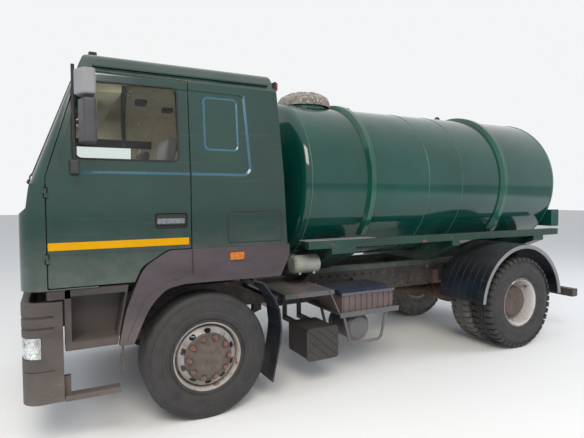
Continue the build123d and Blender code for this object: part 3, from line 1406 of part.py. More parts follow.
def door_fittings():
    """Mirror tube with its two feet, two mirror housings, the lower pad, and the flap of the handle."""
    tube_x, tube_y = DOOR_FRONT_X - 189, CAB_HALF_W + 95
    tube = rod_z(tube_x, tube_y, 12, BELT_Z + 50, DOOR_TOP_Z - 7)
    feet = [
        (BELT_Z + 70, DOOR_FRONT_X - 164, CAB_HALF_W - 12),
        (DOOR_TOP_Z - 77, DOOR_FRONT_X - 310, side_y(DOOR_TOP_Z - 77, 12)),
    ]
    for z, foot_x, foot_y in feet:
        run = Vector(foot_x - tube_x, foot_y - tube_y, 0)
        arm = Pos((foot_x + tube_x) / 2, (foot_y + tube_y) / 2, z)
        tube += arm * Rot(0, 0, degrees(atan2(run.Y, run.X))) * Box(run.length, 24, 24)
    for z in (BELT_Z + 342, BELT_Z + 590):
        tube += block(tube_x - 85, tube_x + 5, tube_y - 10, tube_y + 10, z - 12, z + 12)
    for name, reach, z0, z1, bulge in MIRRORS:
        corners = [
            (tube_x - 135, tube_y - 15),
            (tube_x - 55, tube_y - 35),
            (tube_x - 25 + bulge, tube_y + 75),
            (tube_x - 55, tube_y + reach),
            (tube_x - 135, tube_y + reach),
        ]
        housing = plan_prism(corners, z0, z1, 18)
        rim = [edge for edge in housing.edges() if abs(edge.center().Z - (z0 + z1) / 2) > (z1 - z0) * 0.4]
        tube += fillet(rim, 14)
    pad_z = BELT_Z + 30
    pad = plan_prism(
        [(tube_x - 30, tube_y - 25), (tube_x + 30, tube_y - 25), (tube_x + 30, tube_y + 35), (tube_x - 30, tube_y + 35)],
        pad_z - 50,
        pad_z + 50,
        14,
    )
    tube += fillet([edge for edge in pad.edges() if abs(edge.center().Z - pad_z) > 40], 12)
    x0, x1, z0, z1 = HANDLE
    flap = side_prism(
        [(x0 + 8, z0 + 30), (x1 - 8, z0 + 30), (x1 - 8, z1 - 8), (x0 + 8, z1 - 8)],
        CAB_HALF_W - HANDLE_DEPTH,
        CAB_HALF_W - 4,
        18,
    )
    return tube - door_left, flap


fittings = door_fittings()
save("door_fittings_left", *fittings)
save("door_fittings_right", right(fittings[0]), right(fittings[1]))


# Front panel with grille slots, hinged along its top edge
GRILLE_ROWS = 6


def front_panel():
    panel = block(PANEL_BACK_X, CAB_FRONT_X - 1, -PANEL_HALF_W, PANEL_HALF_W, PANEL_BASE_Z, PANEL_TOP_Z)
    panel = fillet(panel.edges().filter_by(Axis.X), 24)
    slot_pitch = (PANEL_TOP_Z - PANEL_BASE_Z - 120) / GRILLE_ROWS
    for row in range(GRILLE_ROWS):
        z = PANEL_BASE_Z + 60 + slot_pitch * (row + 0.28)
        slot_h = slot_pitch * 0.55
        for y0, y1 in ((-PANEL_HALF_W + 120, -30), (30, PANEL_HALF_W - 120)):
            corners = [(y0, z), (y1, z), (y1, z + slot_h), (y0, z + slot_h)]
            panel -= front_prism(corners, PANEL_BACK_X + 16, AHEAD_X, 14)
    hinge_x, hinge_z = GRILLE_HINGE
    for y in PANEL_HINGE_Y:
        panel += block(hinge_x - 8, hinge_x + 8, y - 30, y + 30, PANEL_TOP_Z - 2, hinge_z)
        panel += rod_y(hinge_x, hinge_z, 8, y - 30, y + 30)
        panel -= rod_y(hinge_x, hinge_z, 4 + RUN_GAP, y - 40, y + 40)
    return panel


save("front_panel", front_panel())

# Steering knuckles: fork round the axle's fist, king pin, spindle and steering arm
ARM_BACK = 200
TIE_ROD_Z = 440


def knuckle():
    x, y, z = FRONT_AXLE_X, KINGPIN_Y, FRONT_TYRE_R
    gap = FIST_HALF_H + 1
    plate_y = y + FIST_R + 8
    fork = block(x - 45, x + 45, plate_y, plate_y + 30, z - gap - 40, z + gap + 40)
    for z0, z1 in ((z + gap, z + gap + 40), (z - gap - 40, z - gap)):
        fork += block(x - 45, x + 45, y, plate_y + 30, z0, z1) + rod_z(x, y, 45, z0, z1)
    fork += rod_z(x, y, KINGPIN_R, z - gap - 40, z + gap + 40)
    spindle = rod_y(x, z, SPINDLE_R, plate_y + 10, WHEEL_Y + 110)
    arm_z = TIE_ROD_Z
    arm = block(x - ARM_BACK, x - 20, y - 20, y + 20, arm_z + 5, arm_z + 26)
    arm += rod_z(x - ARM_BACK, y, 26, arm_z + 5, arm_z + 26)
    arm += rod_z(x - ARM_BACK, y, 11, arm_z - 20, arm_z + 10)
    arm += block(x - 45, x - 15, y - 20, plate_y + 20, arm_z + 5, z - gap - 20)
    return fork + spindle + arm


def tie_rod():
    """A rod across the truck behind the axle, with an eye on each steering arm's ball."""
    x, z = FRONT_AXLE_X - ARM_BACK, TIE_ROD_Z
    rod = rod_y(x, z - 12, 14, -KINGPIN_Y, KINGPIN_Y)
    for side, clear in ((1, RUN_GAP), (-1, 1.0)):
        rod += rod_z(x, side * KINGPIN_Y, 26, z - 28, z + 4)
        rod -= rod_z(x, side * KINGPIN_Y, 11 + clear, z - 60, z + 60)
    return rod


knuckle_left = knuckle()
save("knuckle_left", knuckle_left)
save("knuckle_right", right(knuckle_left))
save("tie_rod", tie_rod())

# Wheels. A rim is one turned profile of radius and distance from the tyre's middle plane.
RIM_HALF_W = 118
HAND_HOLES = 10
HUB_FACE_R = 192


def rim_profile(c):
    """Barrel, well and flanges of a rim whose middle plane is at c."""
    return [
        (RIM_R + 12, c - RIM_HALF_W - 6),
        (RIM_R + 12, c - RIM_HALF_W),
        (RIM_R - SEAT_GAP, c - RIM_HALF_W + 12),
        (RIM_R - SEAT_GAP, c + RIM_HALF_W - 12),
        (RIM_R + 12, c + RIM_HALF_W),
        (RIM_R + 12, c + RIM_HALF_W + 6),
        (RIM_R - 6, c + RIM_HALF_W + 6),
        (RIM_R - 14, c + RIM_HALF_W - 14),
        (RIM_R - 22, c - RIM_HALF_W + 14),
        (RIM_R - 8, c - RIM_HALF_W - 6),
    ]


TYRE_SIDES = 24
LUG_DEPTH = 22
LUG_GAP_W = 34
LUG_REACH = 58


def many_sided(stations, x, z):
    """A solid with flat sides about a crosswise axis: each station is a radius and a Y."""
    turns = [2 * pi * i / TYRE_SIDES for i in range(TYRE_SIDES)]
    rings = [[Vector(x + r * cos(t), y, z + r * sin(t)) for t in turns] for r, y in stations]
    faces = [make_face(Polyline(*rings[0], close=True)), make_face(Polyline(*rings[-1], close=True))]
    for near, far in zip(rings, rings[1:]):
        for i in range(TYRE_SIDES):
            j = (i + 1) % TYRE_SIDES
            faces.append(make_face(Polyline(near[i], near[j], far[j], far[i], close=True)))
    return Solid(Shell([face.face() for face in faces]))


def tyre(c, x, z, outer_r):
    """A ring with flat sides over the rim. Its corners stand on the true radius."""
    half = TYRE_WIDTH / 2
    bore = 1 / cos(pi / TYRE_SIDES)
    side_r = (RIM_R + outer_r) / 2
    body = many_sided(
        [
            (side_r, c - half),
            (outer_r - 30, c - half + 8),
            (outer_r, c - half + 46),
            (outer_r, c + half - 46),
            (outer_r - 30, c + half - 8),
            (side_r, c + half),
        ],
        x,
        z,
    )
    for way in (-1, 1):
        dish = [(side_r, c + way * half), ((RIM_R + 14) * bore, c + way * (RIM_HALF_W - 1))]
        dish.append((RIM_R * bore, c + way * (RIM_HALF_W - 14)))
        body -= many_sided(dish if way < 0 else dish[::-1], x, z)
    return body - many_sided([(RIM_R * bore, c - half), (RIM_R * bore, c + half)], x, z)


def lugged(plain, c, x, z, outer_r):
    """The same ring with open gaps between the lugs of both shoulders."""
    gaps = []
    for side in (-1, 1):
        edge_y = c + side * (TYRE_WIDTH / 2 + 5)
        for i in range(TYRE_SIDES):
            turn = 360 * (i + 0.5) / TYRE_SIDES
            gap = Box(LUG_DEPTH * 2, LUG_REACH * 2, LUG_GAP_W)
            gaps.append(Pos(x, edge_y, z) * Rot(0, turn, 0) * Pos(outer_r, 0, 0) * gap)
    return plain.cut(*gaps)


def ring_of_holes(x, z, pitch_r, count, make, start=0):
    """The same tool shape, set out evenly round the wheel's axis."""
    tools = []
    for i in range(count):
        turn = start + 360 * i / count
        tools.append(Pos(x, 0, z) * Rot(0, turn, 0) * Pos(pitch_r, 0, 0) * make)
    return tools


def front_wheel():
    x, z, c = FRONT_AXLE_X, FRONT_TYRE_R, WHEEL_Y
    barrel = turned_y(rim_profile(c), x, z)
    disc = turned_y(
        [
            (RIM_R - 16, c + 20),
            (250, c + 92),
            (180, c + 150),
            (HUB_FACE_R - 20, c + 162),
            (120, c + 176),
            (SPINDLE_R + 30, c + 182),
            (0, c + 184),
            (0, c + 115),
            (SPINDLE_R + RUN_GAP, c + 115),
            (SPINDLE_R + RUN_GAP, c - 25),
            (110, c - 25),
            (110, c + 120),
            (170, c + 136),
            (240, c + 80),
            (RIM_R - 24, c + 12),
        ],
        x,
        z,
    )
    tool = Pos(0, c, 0) * extrude(Plane.XZ * SlotCenterToCenter(24, 34, rotation=90), amount=-250)
    for cut in ring_of_holes(x, z, 219, HAND_HOLES, tool, 18):
        disc -= cut
    nuts = Plane.XZ * RegularPolygon(17, 6)
    nut = Pos(0, c + 150, 0) * extrude(nuts, amount=-32)
    whole = barrel + disc
    for piece in ring_of_holes(x, z, 167, 10, nut):
        whole += piece
    return whole


front_left = front_wheel()
save("front_wheel_left", front_left)
save("front_wheel_right", right(front_left))
front_tyre = tyre(WHEEL_Y, FRONT_AXLE_X, FRONT_TYRE_R, FRONT_TYRE_R)
save("front_tyre_left", front_tyre)
save("front_tyre_right", right(front_tyre))


def rear_wheels():
    """Both rims of the twin wheels, bolted face to face on the hub."""
    x, z, c = REAR_AXLE_X, REAR_TYRE_R, WHEEL_Y
    inner_c = c - TWIN_SPACING
    whole = turned_y(rim_profile(c), x, z) + turned_y(rim_profile(inner_c), x, z)
    face = (c + inner_c) / 2
    hub = turned_y(
        [
            (RIM_R - 16, c - 30),
            (250, face + 34),
            (215, face + 14),
            (215, face - 14),
            (250, face - 34),
            (RIM_R - 16, inner_c + 30),
            (RIM_R - 24, inner_c + 20),
            (235, face - 46),
            (200, face - 60),
            (150, inner_c - 20),
            (REAR_SPINDLE_R + RUN_GAP, inner_c - 20),
            (REAR_SPINDLE_R + RUN_GAP, 1088),
            (0, 1088),
            (0, 1122),
            (120, 1120),
            (HUB_FACE_R - 12, 1106),
            (HUB_FACE_R - 4, 1090),
            (HUB_FACE_R - 4, face + 60),
            (235, face + 46),
            (RIM_R - 24, c - 20),
        ],
        x,
        z,
    )
    return whole + hub


rear_left = rear_wheels()
save("rear_wheels_left", rear_left)
save("rear_wheels_right", right(rear_left))
rear_tyres = []
for c in (WHEEL_Y, WHEEL_Y - TWIN_SPACING):
    plain = tyre(c, REAR_AXLE_X, REAR_TYRE_R, REAR_TYRE_R)
    rear_tyres.append(lugged(plain, c, REAR_AXLE_X, REAR_TYRE_R, REAR_TYRE_R))
save("rear_tyres_left", rear_tyres)
save("rear_tyres_right", [right(piece) for piece in rear_tyres])
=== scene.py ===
import math

import bmesh
import bpy
from mathutils import Matrix, Vector, noise
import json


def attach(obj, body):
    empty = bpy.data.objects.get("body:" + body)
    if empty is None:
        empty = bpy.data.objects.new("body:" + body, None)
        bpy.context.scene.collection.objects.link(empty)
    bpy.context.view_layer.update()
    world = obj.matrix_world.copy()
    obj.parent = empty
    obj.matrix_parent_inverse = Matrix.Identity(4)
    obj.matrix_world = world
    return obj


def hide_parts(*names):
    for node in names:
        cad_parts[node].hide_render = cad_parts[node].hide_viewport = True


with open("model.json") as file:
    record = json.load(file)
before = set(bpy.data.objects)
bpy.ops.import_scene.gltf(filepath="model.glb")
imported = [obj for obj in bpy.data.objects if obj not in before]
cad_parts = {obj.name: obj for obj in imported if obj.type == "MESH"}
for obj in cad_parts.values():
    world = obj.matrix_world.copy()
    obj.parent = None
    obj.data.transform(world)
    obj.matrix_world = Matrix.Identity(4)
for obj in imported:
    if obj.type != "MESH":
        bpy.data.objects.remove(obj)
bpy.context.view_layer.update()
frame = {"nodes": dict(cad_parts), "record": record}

# Sizes in metres that the pieces below share with the model
FRONT_X, REAR_X = 2.0, -1.95
FRONT_R, REAR_R = 0.530, 0.560
FRONT_CENTRE = (FRONT_X, 0, FRONT_R)
REAR_CENTRE = (REAR_X, 0, REAR_R)
TYRE_W = 0.310
WHEEL_Y = 1.065
TWIN_SPACING = 0.335
RIM_R = 0.286
FRONT_NUTS_R, REAR_NUTS_R = 0.167, 0.222
NUTS = 10
TANK_R, TANK_Z = 0.890, 2.040
CAB_HALF_W = 1.250
BELT_Z = 2.05
SIDE_LEAN = 0.08378
SIDES = {"left": 1, "right": -1}
BOTH_CABS = ("cab", "cab")
BOTH_DOORS = ("door_left", "door_right")
CHASSIS = ("chassis", "chassis")


# Materials: one function adds a node, and the others are finishes and the patterns in them.
# A Mix node takes its share and two colours at 0, 6 and 7, and gives its colour at 2.
# A Map Range node takes its value at 0, the range it comes from at 1 and 2, and the new range at 3 and 4.

DUST = "#9A9083"
RUST, RUST_PALE = "#5A3424", "#8A5E42"
SCRATCHED = "#7E877F"
CHALK = "#8B8580"


def linear(code):
    """A hex colour as it looks on screen, turned to the linear values that a shader takes."""
    parts = [int(code[i : i + 2], 16) / 255 for i in (1, 3, 5)]
    return tuple(c / 12.92 if c <= 0.04045 else ((c + 0.055) / 1.055) ** 2.4 for c in parts) + (1.0,)


def add(tree, kind, inputs=None, **settings):
    """Adds a node. Each input gets a value, a hex colour, a socket, or the first output of a node."""
    made = tree.nodes.new(kind)
    for key, value in settings.items():
        setattr(made, key, value)
    for key, value in (inputs or {}).items():
        if isinstance(value, bpy.types.Node):
            value = value.outputs[0]
        if isinstance(value, bpy.types.NodeSocket):
            tree.links.new(value, made.inputs[key])
        else:
            made.inputs[key].default_value = linear(value) if isinstance(value, str) else value
    return made


def new_finish(name):
    """An empty material, its node tree and the object's own coordinates."""
    made = bpy.data.materials.new(name)
    made.use_nodes = True
    tree = made.node_tree
    tree.nodes.clear()
    return made, tree, add(tree, "ShaderNodeTexCoord").outputs["Object"]


def surface(tree, inputs):
    """Ends a material: one shader with these inputs, joined to the output."""
    shader = add(tree, "ShaderNodeBsdfPrincipled", inputs)
    add(tree, "ShaderNodeOutputMaterial", {"Surface": shader})


def mottle(tree, place, size_mm, detail=3.0, rough=0.55, stretch=(1, 1, 1), distortion=0.0):
    """Cloudy variation from 0 to 1, whose patches are about size_mm across."""
    mapped = add(tree, "ShaderNodeMapping", {"Vector": place, "Scale": stretch})
    cloud = {"Vector": mapped, "Scale": 1000 / size_mm, "Detail": detail, "Roughness": rough}
    return add(tree, "ShaderNodeTexNoise", {**cloud, "Distortion": distortion})


def patches(tree, place, size_mm, band=(0.35, 0.65), span=(0.0, 1.0), **cloud):
    """Patches about size_mm across. The band of the cloudy variation is spread over the span."""
    value = mottle(tree, place, size_mm, **cloud)
    return add(tree, "ShaderNodeMapRange", {0: value, 1: band[0], 2: band[1], 3: span[0], 4: span[1]})


def low_dust(tree, place, top, bottom, most):
    """Share of road dust, most at the bottom height and none above the top, broken up by patches."""
    height = add(tree, "ShaderNodeSeparateXYZ", {0: place}).outputs["Z"]
    share = add(tree, "ShaderNodeMapRange", {0: height, 1: top, 2: bottom, 3: 0.0, 4: most})
    broken = patches(tree, place, 120, (0.3, 0.7), (0.35, 1.0), detail=5)
    return add(tree, "ShaderNodeMath", {0: share, 1: broken}, operation="MULTIPLY")


def ledge_dust(tree):
    """How much a face looks up, for the dust that settles on ledges."""
    normal = add(tree, "ShaderNodeNewGeometry").outputs["Normal"]
    rise = add(tree, "ShaderNodeSeparateXYZ", {0: normal}).outputs["Z"]
    return add(tree, "ShaderNodeMapRange", {0: rise, 1: 0.35, 2: 0.95})


def rust_tone(tree, fine):
    """Rust in two tones, dark where it is old and pale where it blooms."""
    share = add(tree, "ShaderNodeMapRange", {0: fine, 1: 0.4, 2: 0.6})
    return add(tree, "ShaderNodeMix", {0: share, 6: RUST, 7: RUST_PALE}, data_type="RGBA").outputs[2]


def painted_steel(name, deep, bright, rough, low=(0.0, 0.9), dust=0.6, rust=0.0, coat=0.0, waves=0.5,
                  scratch=0.0, gloss=0.5):
    """Sprayed enamel on sheet steel: two close tones, uneven gloss, road dust low down and rust in spots.

    The panel's slight waves show in what it reflects, as on a truck that has been painted over."""
    made, tree, place = new_finish(name)
    broad = patches(tree, place, 900)
    tone = add(tree, "ShaderNodeMix", {0: broad, 6: deep, 7: bright}, data_type="RGBA").outputs[2]
    fine = mottle(tree, place, 25, 6, 0.65)
    flecks = add(tree, "ShaderNodeMapRange", {0: fine, 1: 0.55, 2: 0.8, 3: 0.0, 4: 0.18})
    tone = add(tree, "ShaderNodeMix", {0: flecks, 6: tone, 7: bright}, data_type="RGBA").outputs[2]

    settled = patches(tree, place, 300, (0.35, 0.7), (dust * 0.3, dust * 1.1), detail=4)
    settled = add(tree, "ShaderNodeMath", {0: ledge_dust(tree), 1: settled}, operation="MULTIPLY")
    road = low_dust(tree, place, low[1], low[0], dust)
    dusty = add(tree, "ShaderNodeMath", {0: road, 1: settled}, operation="MAXIMUM")
    tone = add(tree, "ShaderNodeMix", {0: dusty, 6: tone, 7: DUST}, data_type="RGBA").outputs[2]
    shine = patches(tree, place, 180, (0.3, 0.7), (rough * 0.75, rough * 1.3), detail=4)
    dull = add(tree, "ShaderNodeMath", {0: dusty, 1: 0.55}, operation="MULTIPLY")
    shine = add(tree, "ShaderNodeMath", {0: shine, 1: dull}, operation="ADD")

    if scratch:
        lines = patches(tree, place, 40, (0.66, 0.70), (0.0, scratch), detail=2, rough=0.4,
                        stretch=(0.06, 1, 1.6), distortion=0.4)
        gaps = add(tree, "ShaderNodeMapRange", {0: fine, 1: 0.4, 2: 0.6})
        marks = add(tree, "ShaderNodeMath", {0: lines, 1: gaps}, operation="MULTIPLY")
        tone = add(tree, "ShaderNodeMix", {0: marks, 6: tone, 7: SCRATCHED}, data_type="RGBA").outputs[2]
    if rust:
        band = (0.62 - rust * 0.2, 0.68 - rust * 0.14)
        spots = patches(tree, place, 70, band, detail=8, rough=0.7, distortion=0.6)
        eaten = {0: spots, 6: tone, 7: rust_tone(tree, fine)}
        tone = add(tree, "ShaderNodeMix", eaten, data_type="RGBA").outputs[2]
        dull = add(tree, "ShaderNodeMath", {0: spots, 1: 0.85}, operation="MULTIPLY")
        shine = add(tree, "ShaderNodeMath", {0: shine, 1: dull}, operation="MAXIMUM")

    swell = mottle(tree, place, 420, 2, 0.4)
    bent = add(tree, "ShaderNodeBump", {"Height": swell, "Distance": 0.003 * waves, "Strength": 0.6})
    grit = {"Height": fine, "Distance": 0.0004, "Strength": 0.12, "Normal": bent}
    surface(tree, {
        "Base Color": tone, "Roughness": shine, "Normal": add(tree, "ShaderNodeBump", grit),
        "Coat Weight": coat, "Coat Roughness": 0.08, "Specular IOR Level": gloss,
    })
    return made


def moulded_plastic(name, deep, bright, rough=0.62, low=(0.2, 1.2), dust=0.55, grain=3.0):
    """Moulded polypropylene that sun and rain have bleached: a fine grain, chalky patches and dust."""
    made, tree, place = new_finish(name)
    bleached = patches(tree, place, 260, (0.35, 0.68), detail=5, rough=0.6, stretch=(0.5, 0.5, 1.4))
    tone = add(tree, "ShaderNodeMix", {0: bleached, 6: deep, 7: bright}, data_type="RGBA").outputs[2]
    settled = add(tree, "ShaderNodeMath", {0: ledge_dust(tree), 1: dust * 0.7}, operation="MULTIPLY")
    road = low_dust(tree, place, low[1], low[0], dust)
    dusty = add(tree, "ShaderNodeMath", {0: road, 1: settled}, operation="MAXIMUM")
    tone = add(tree, "ShaderNodeMix", {0: dusty, 6: tone, 7: DUST}, data_type="RGBA").outputs[2]
    scuffs = patches(tree, place, 60, (0.62, 0.75), (0.0, 0.35), detail=7, rough=0.75,
                     stretch=(0.3, 0.3, 1.5))
    tone = add(tree, "ShaderNodeMix", {0: scuffs, 6: tone, 7: CHALK}, data_type="RGBA").outputs[2]
    shine = add(tree, "ShaderNodeMapRange", {0: bleached, 1: 0.0, 2: 1.0, 3: rough - 0.12, 4: rough + 0.15})
    grit = {"Height": mottle(tree, place, grain, 2), "Distance": 0.0005, "Strength": 0.35}
    surface(tree, {"Base Color": tone, "Roughness": shine, "Normal": add(tree, "ShaderNodeBump", grit)})
    return made


def rusty_iron(name, deep=RUST, bright=RUST_PALE, bare="#4A4440", share=0.5, rough=0.85):
    """Cast or forged iron with a coat of rust and old grease, rough to the touch."""
    made, tree, place = new_finish(name)
    scale = mottle(tree, place, 45, 9, 0.7, distortion=0.5)
    bloom = patches(tree, place, 12, (0.35, 0.7), detail=6, rough=0.7)
    tone = add(tree, "ShaderNodeMix", {0: bloom, 6: deep, 7: bright}, data_type="RGBA").outputs[2]
    coated = add(tree, "ShaderNodeMapRange", {0: scale, 1: 0.3 + share * 0.3, 2: 0.4 + share * 0.3})
    tone = add(tree, "ShaderNodeMix", {0: coated, 6: bare, 7: tone}, data_type="RGBA").outputs[2]
    dusty = low_dust(tree, place, 1.0, 0.1, 0.35)
    tone = add(tree, "ShaderNodeMix", {0: dusty, 6: tone, 7: DUST}, data_type="RGBA").outputs[2]
    most = min(1.0, rough + 0.1)
    shine = add(tree, "ShaderNodeMapRange", {0: scale, 1: 0.3, 2: 0.7, 3: rough - 0.2, 4: most})
    pits = {"Height": mottle(tree, place, 9, 8, 0.75), "Distance": 0.0009, "Strength": 0.6}
    surface(tree, {"Base Color": tone, "Roughness": shine, "Normal": add(tree, "ShaderNodeBump", pits)})
    return made


def length_of(tree, first, second):
    """The length of a line whose two steps are at right angles."""
    squares = [add(tree, "ShaderNodeMath", {0: side, 1: 2.0}, operation="POWER") for side in (first, second)]
    whole = add(tree, "ShaderNodeMath", {0: squares[0], 1: squares[1]}, operation="ADD")
    return add(tree, "ShaderNodeMath", {0: whole}, operation="SQRT")


def about_axle(tree, place, centre):
    """The place seen from a wheel's centre, and its distance from the axle."""
    seen = add(tree, "ShaderNodeMapping", {"Vector": place, "Location": [-c for c in centre]})
    xyz = add(tree, "ShaderNodeSeparateXYZ", {0: seen}).outputs
    return xyz, length_of(tree, xyz["X"], xyz["Z"])


def disc_with_hub(name, centre, hub_r):
    """A front wheel's disc: silver enamel, and inside hub_r a greasy brown hub, with painted shade round each
    nut and a painted shadow along the hub's edge.
    """
    made, tree, place = new_finish(name)
    xyz, radius = about_axle(tree, place, centre)
    angle = add(tree, "ShaderNodeMath", {0: xyz["Z"], 1: xyz["X"]}, operation="ARCTAN2")
    half_step = math.pi / NUTS
    folded = add(tree, "ShaderNodeMath", {0: angle, 1: half_step, 2: -half_step}, operation="WRAP")
    sine = add(tree, "ShaderNodeMath", {0: folded}, operation="SINE")
    cosine = add(tree, "ShaderNodeMath", {0: folded}, operation="COSINE")
    aside = add(tree, "ShaderNodeMath", {0: radius, 1: sine}, operation="MULTIPLY")
    along = add(tree, "ShaderNodeMath", {0: radius, 1: cosine}, operation="MULTIPLY")
    along = add(tree, "ShaderNodeMath", {0: along, 1: FRONT_NUTS_R}, operation="SUBTRACT")
    from_nut = length_of(tree, aside, along)
    # Painted shade round each nut, darkening the hub where the nut stands on it
    nut_shade = add(tree, "ShaderNodeMapRange", {0: from_nut, 1: 0.024, 2: 0.036, 3: 0.85, 4: 0.0})

    fine = mottle(tree, place, 18, 6, 0.7)
    silver = {0: patches(tree, place, 160, detail=4), 6: "#777374", 7: "#9B9795"}
    silver = add(tree, "ShaderNodeMix", silver, data_type="RGBA").outputs[2]
    spots = patches(tree, place, 45, (0.60, 0.66), detail=8, rough=0.7, distortion=0.6)
    silver = {0: spots, 6: silver, 7: rust_tone(tree, fine)}
    silver = add(tree, "ShaderNodeMix", silver, data_type="RGBA").outputs[2]
    grease = {0: patches(tree, place, 60, detail=6, rough=0.65), 6: "#3A322F", 7: "#574B45"}
    grease = add(tree, "ShaderNodeMix", grease, data_type="RGBA").outputs[2]
    grease = add(tree, "ShaderNodeMix", {0: nut_shade, 6: grease, 7: "#1F1A18"}, data_type="RGBA").outputs[2]

    inside = {0: radius, 1: hub_r - 0.0015, 2: hub_r + 0.0015, 3: 1.0, 4: 0.0}
    inside = add(tree, "ShaderNodeMapRange", inside)
    tone = add(tree, "ShaderNodeMix", {0: inside, 6: silver, 7: grease}, data_type="RGBA").outputs[2]
    # A thin dark ring at the hub's edge is a painted shadow in the gap there
    beside = add(tree, "ShaderNodeMath", {0: radius, 1: hub_r}, operation="SUBTRACT")
    beside = add(tree, "ShaderNodeMath", {0: beside}, operation="ABSOLUTE")
    hub_edge_shadow = add(tree, "ShaderNodeMapRange", {0: beside, 1: 0.001, 2: 0.004, 3: 0.8, 4: 0.0})
    tone = add(tree, "ShaderNodeMix", {0: hub_edge_shadow, 6: tone, 7: "#26201D"}, data_type="RGBA").outputs[2]
    dusty = low_dust(tree, place, 0.8, 0.1, 0.3)
    tone = add(tree, "ShaderNodeMix", {0: dusty, 6: tone, 7: DUST}, data_type="RGBA").outputs[2]
    shine = {0: radius, 1: hub_r - 0.01, 2: hub_r + 0.01, 3: 0.6, 4: 0.38}
    shine = add(tree, "ShaderNodeMapRange", shine)
    grit = {"Height": fine, "Distance": 0.0006, "Strength": 0.3}
    surface(tree, {"Base Color": tone, "Roughness": shine, "Normal": add(tree, "ShaderNodeBump", grit)})
    return made


def tyre_rubber(name, centre, dust):
    """Vulcanised rubber: matt black where it rolls, bleached grey with road dust on the sidewall.

    Rings of dust and scuffs run round the wheel, so the pattern is turned about its axle."""
    made, tree, place = new_finish(name)
    radius = about_axle(tree, place, centre)[1]
    outwards = add(tree, "ShaderNodeCombineXYZ", {0: radius, 1: 0.0, 2: 0.0})
    rings = add(tree, "ShaderNodeTexNoise", {"Vector": outwards, "Scale": 60.0, "Detail": 3.0})
    cloud = mottle(tree, place, 90, 6, 0.65)
    clouded = add(tree, "ShaderNodeMapRange", {0: cloud, 1: 0.3, 2: 0.7, 3: 0.4, 4: 1.0})
    ringed = add(tree, "ShaderNodeMapRange", {0: rings, 1: 0.35, 2: 0.65, 3: 0.55, 4: 1.0})
    share = add(tree, "ShaderNodeMath", {0: clouded, 1: ringed}, operation="MULTIPLY")
    share = add(tree, "ShaderNodeMath", {0: share, 1: dust}, operation="MULTIPLY")
    two_blacks = add(tree, "ShaderNodeMapRange", {0: cloud, 1: 0.4, 2: 0.6})
    blacks = {0: two_blacks, 6: "#151518", 7: "#232326"}
    tone = add(tree, "ShaderNodeMix", blacks, data_type="RGBA").outputs[2]
    tone = add(tree, "ShaderNodeMix", {0: share, 6: tone, 7: "#7B7873"}, data_type="RGBA").outputs[2]
    shine = add(tree, "ShaderNodeMapRange", {0: cloud, 1: 0.3, 2: 0.7, 3: 0.6, 4: 0.85})
    ridges = add(tree, "ShaderNodeBump", {"Height": rings, "Distance": 0.0012, "Strength": 0.35})
    grain = mottle(tree, place, 6, 5, 0.7)
    grain = {"Height": grain, "Distance": 0.0005, "Strength": 0.4, "Normal": ridges}
    surface(tree, {"Base Color": tone, "Roughness": shine, "Normal": add(tree, "ShaderNodeBump", grain)})
    return made


def clear_glass(name, tint, rough=0.02, dust=0.12, ior=1.5):
    """Float glass or clear plastic with a film of dust that a cloth has missed."""
    made, tree, place = new_finish(name)
    film = patches(tree, place, 200, (0.35, 0.75), (dust * 0.3, dust * 1.6), detail=6, rough=0.6)
    clear = add(tree, "ShaderNodeMath", {0: 1.0, 1: film}, operation="SUBTRACT")
    surface(tree, {"Base Color": tint, "Roughness": rough, "IOR": ior, "Transmission Weight": clear})
    return made


def one_tone(name, deep, bright, rough, size_mm=30, bump_mm=0.3, metallic=0.0):
    """A plain finish with fine variation of its own: rubber beading, lens plastic, trim board."""
    made, tree, place = new_finish(name)
    cloud = mottle(tree, place, size_mm, 5, 0.6)
    share = add(tree, "ShaderNodeMapRange", {0: cloud, 1: 0.35, 2: 0.65})
    tone = add(tree, "ShaderNodeMix", {0: share, 6: deep, 7: bright}, data_type="RGBA").outputs[2]
    least, most = max(0.03, rough - 0.1), min(1.0, rough + 0.12)
    shine = add(tree, "ShaderNodeMapRange", {0: cloud, 1: 0.3, 2: 0.7, 3: least, 4: most})
    grain = {"Height": mottle(tree, place, size_mm / 4, 4), "Distance": bump_mm / 1000, "Strength": 0.4}
    relief = add(tree, "ShaderNodeBump", grain)
    surface(tree, {"Base Color": tone, "Roughness": shine, "Metallic": metallic, "Normal": relief})
    return made


def cracked_lens(name):
    """A headlamp's lens of moulded glass, clouded and cracked. Its pale patches are partly the clouding and
    partly a painted reflection of the bowl behind it.
    """
    made, tree, place = new_finish(name)
    cells = {"Vector": place, "Scale": 22.0}
    cells = add(tree, "ShaderNodeTexVoronoi", cells, feature="DISTANCE_TO_EDGE").outputs["Distance"]
    cracks = add(tree, "ShaderNodeMapRange", {0: cells, 1: 0.0, 2: 0.035, 3: 1.0, 4: 0.0})
    # Pale patches: clouded glass, with a painted reflection of the lamp's bowl
    tone = {0: patches(tree, place, 70, detail=5), 6: "#8F9496", 7: "#DDE0DF"}
    tone = add(tree, "ShaderNodeMix", tone, data_type="RGBA").outputs[2]
    tone = add(tree, "ShaderNodeMix", {0: cracks, 6: tone, 7: "#5B5A57"}, data_type="RGBA").outputs[2]
    shine = patches(tree, place, 40, (0.3, 0.7), (0.08, 0.4), detail=4)
    facets = add(tree, "ShaderNodeBump", {"Height": cells, "Distance": 0.003, "Strength": 0.5})
    surface(tree, {"Base Color": tone, "Roughness": shine, "Metallic": 0.35, "Normal": facets})
    return made


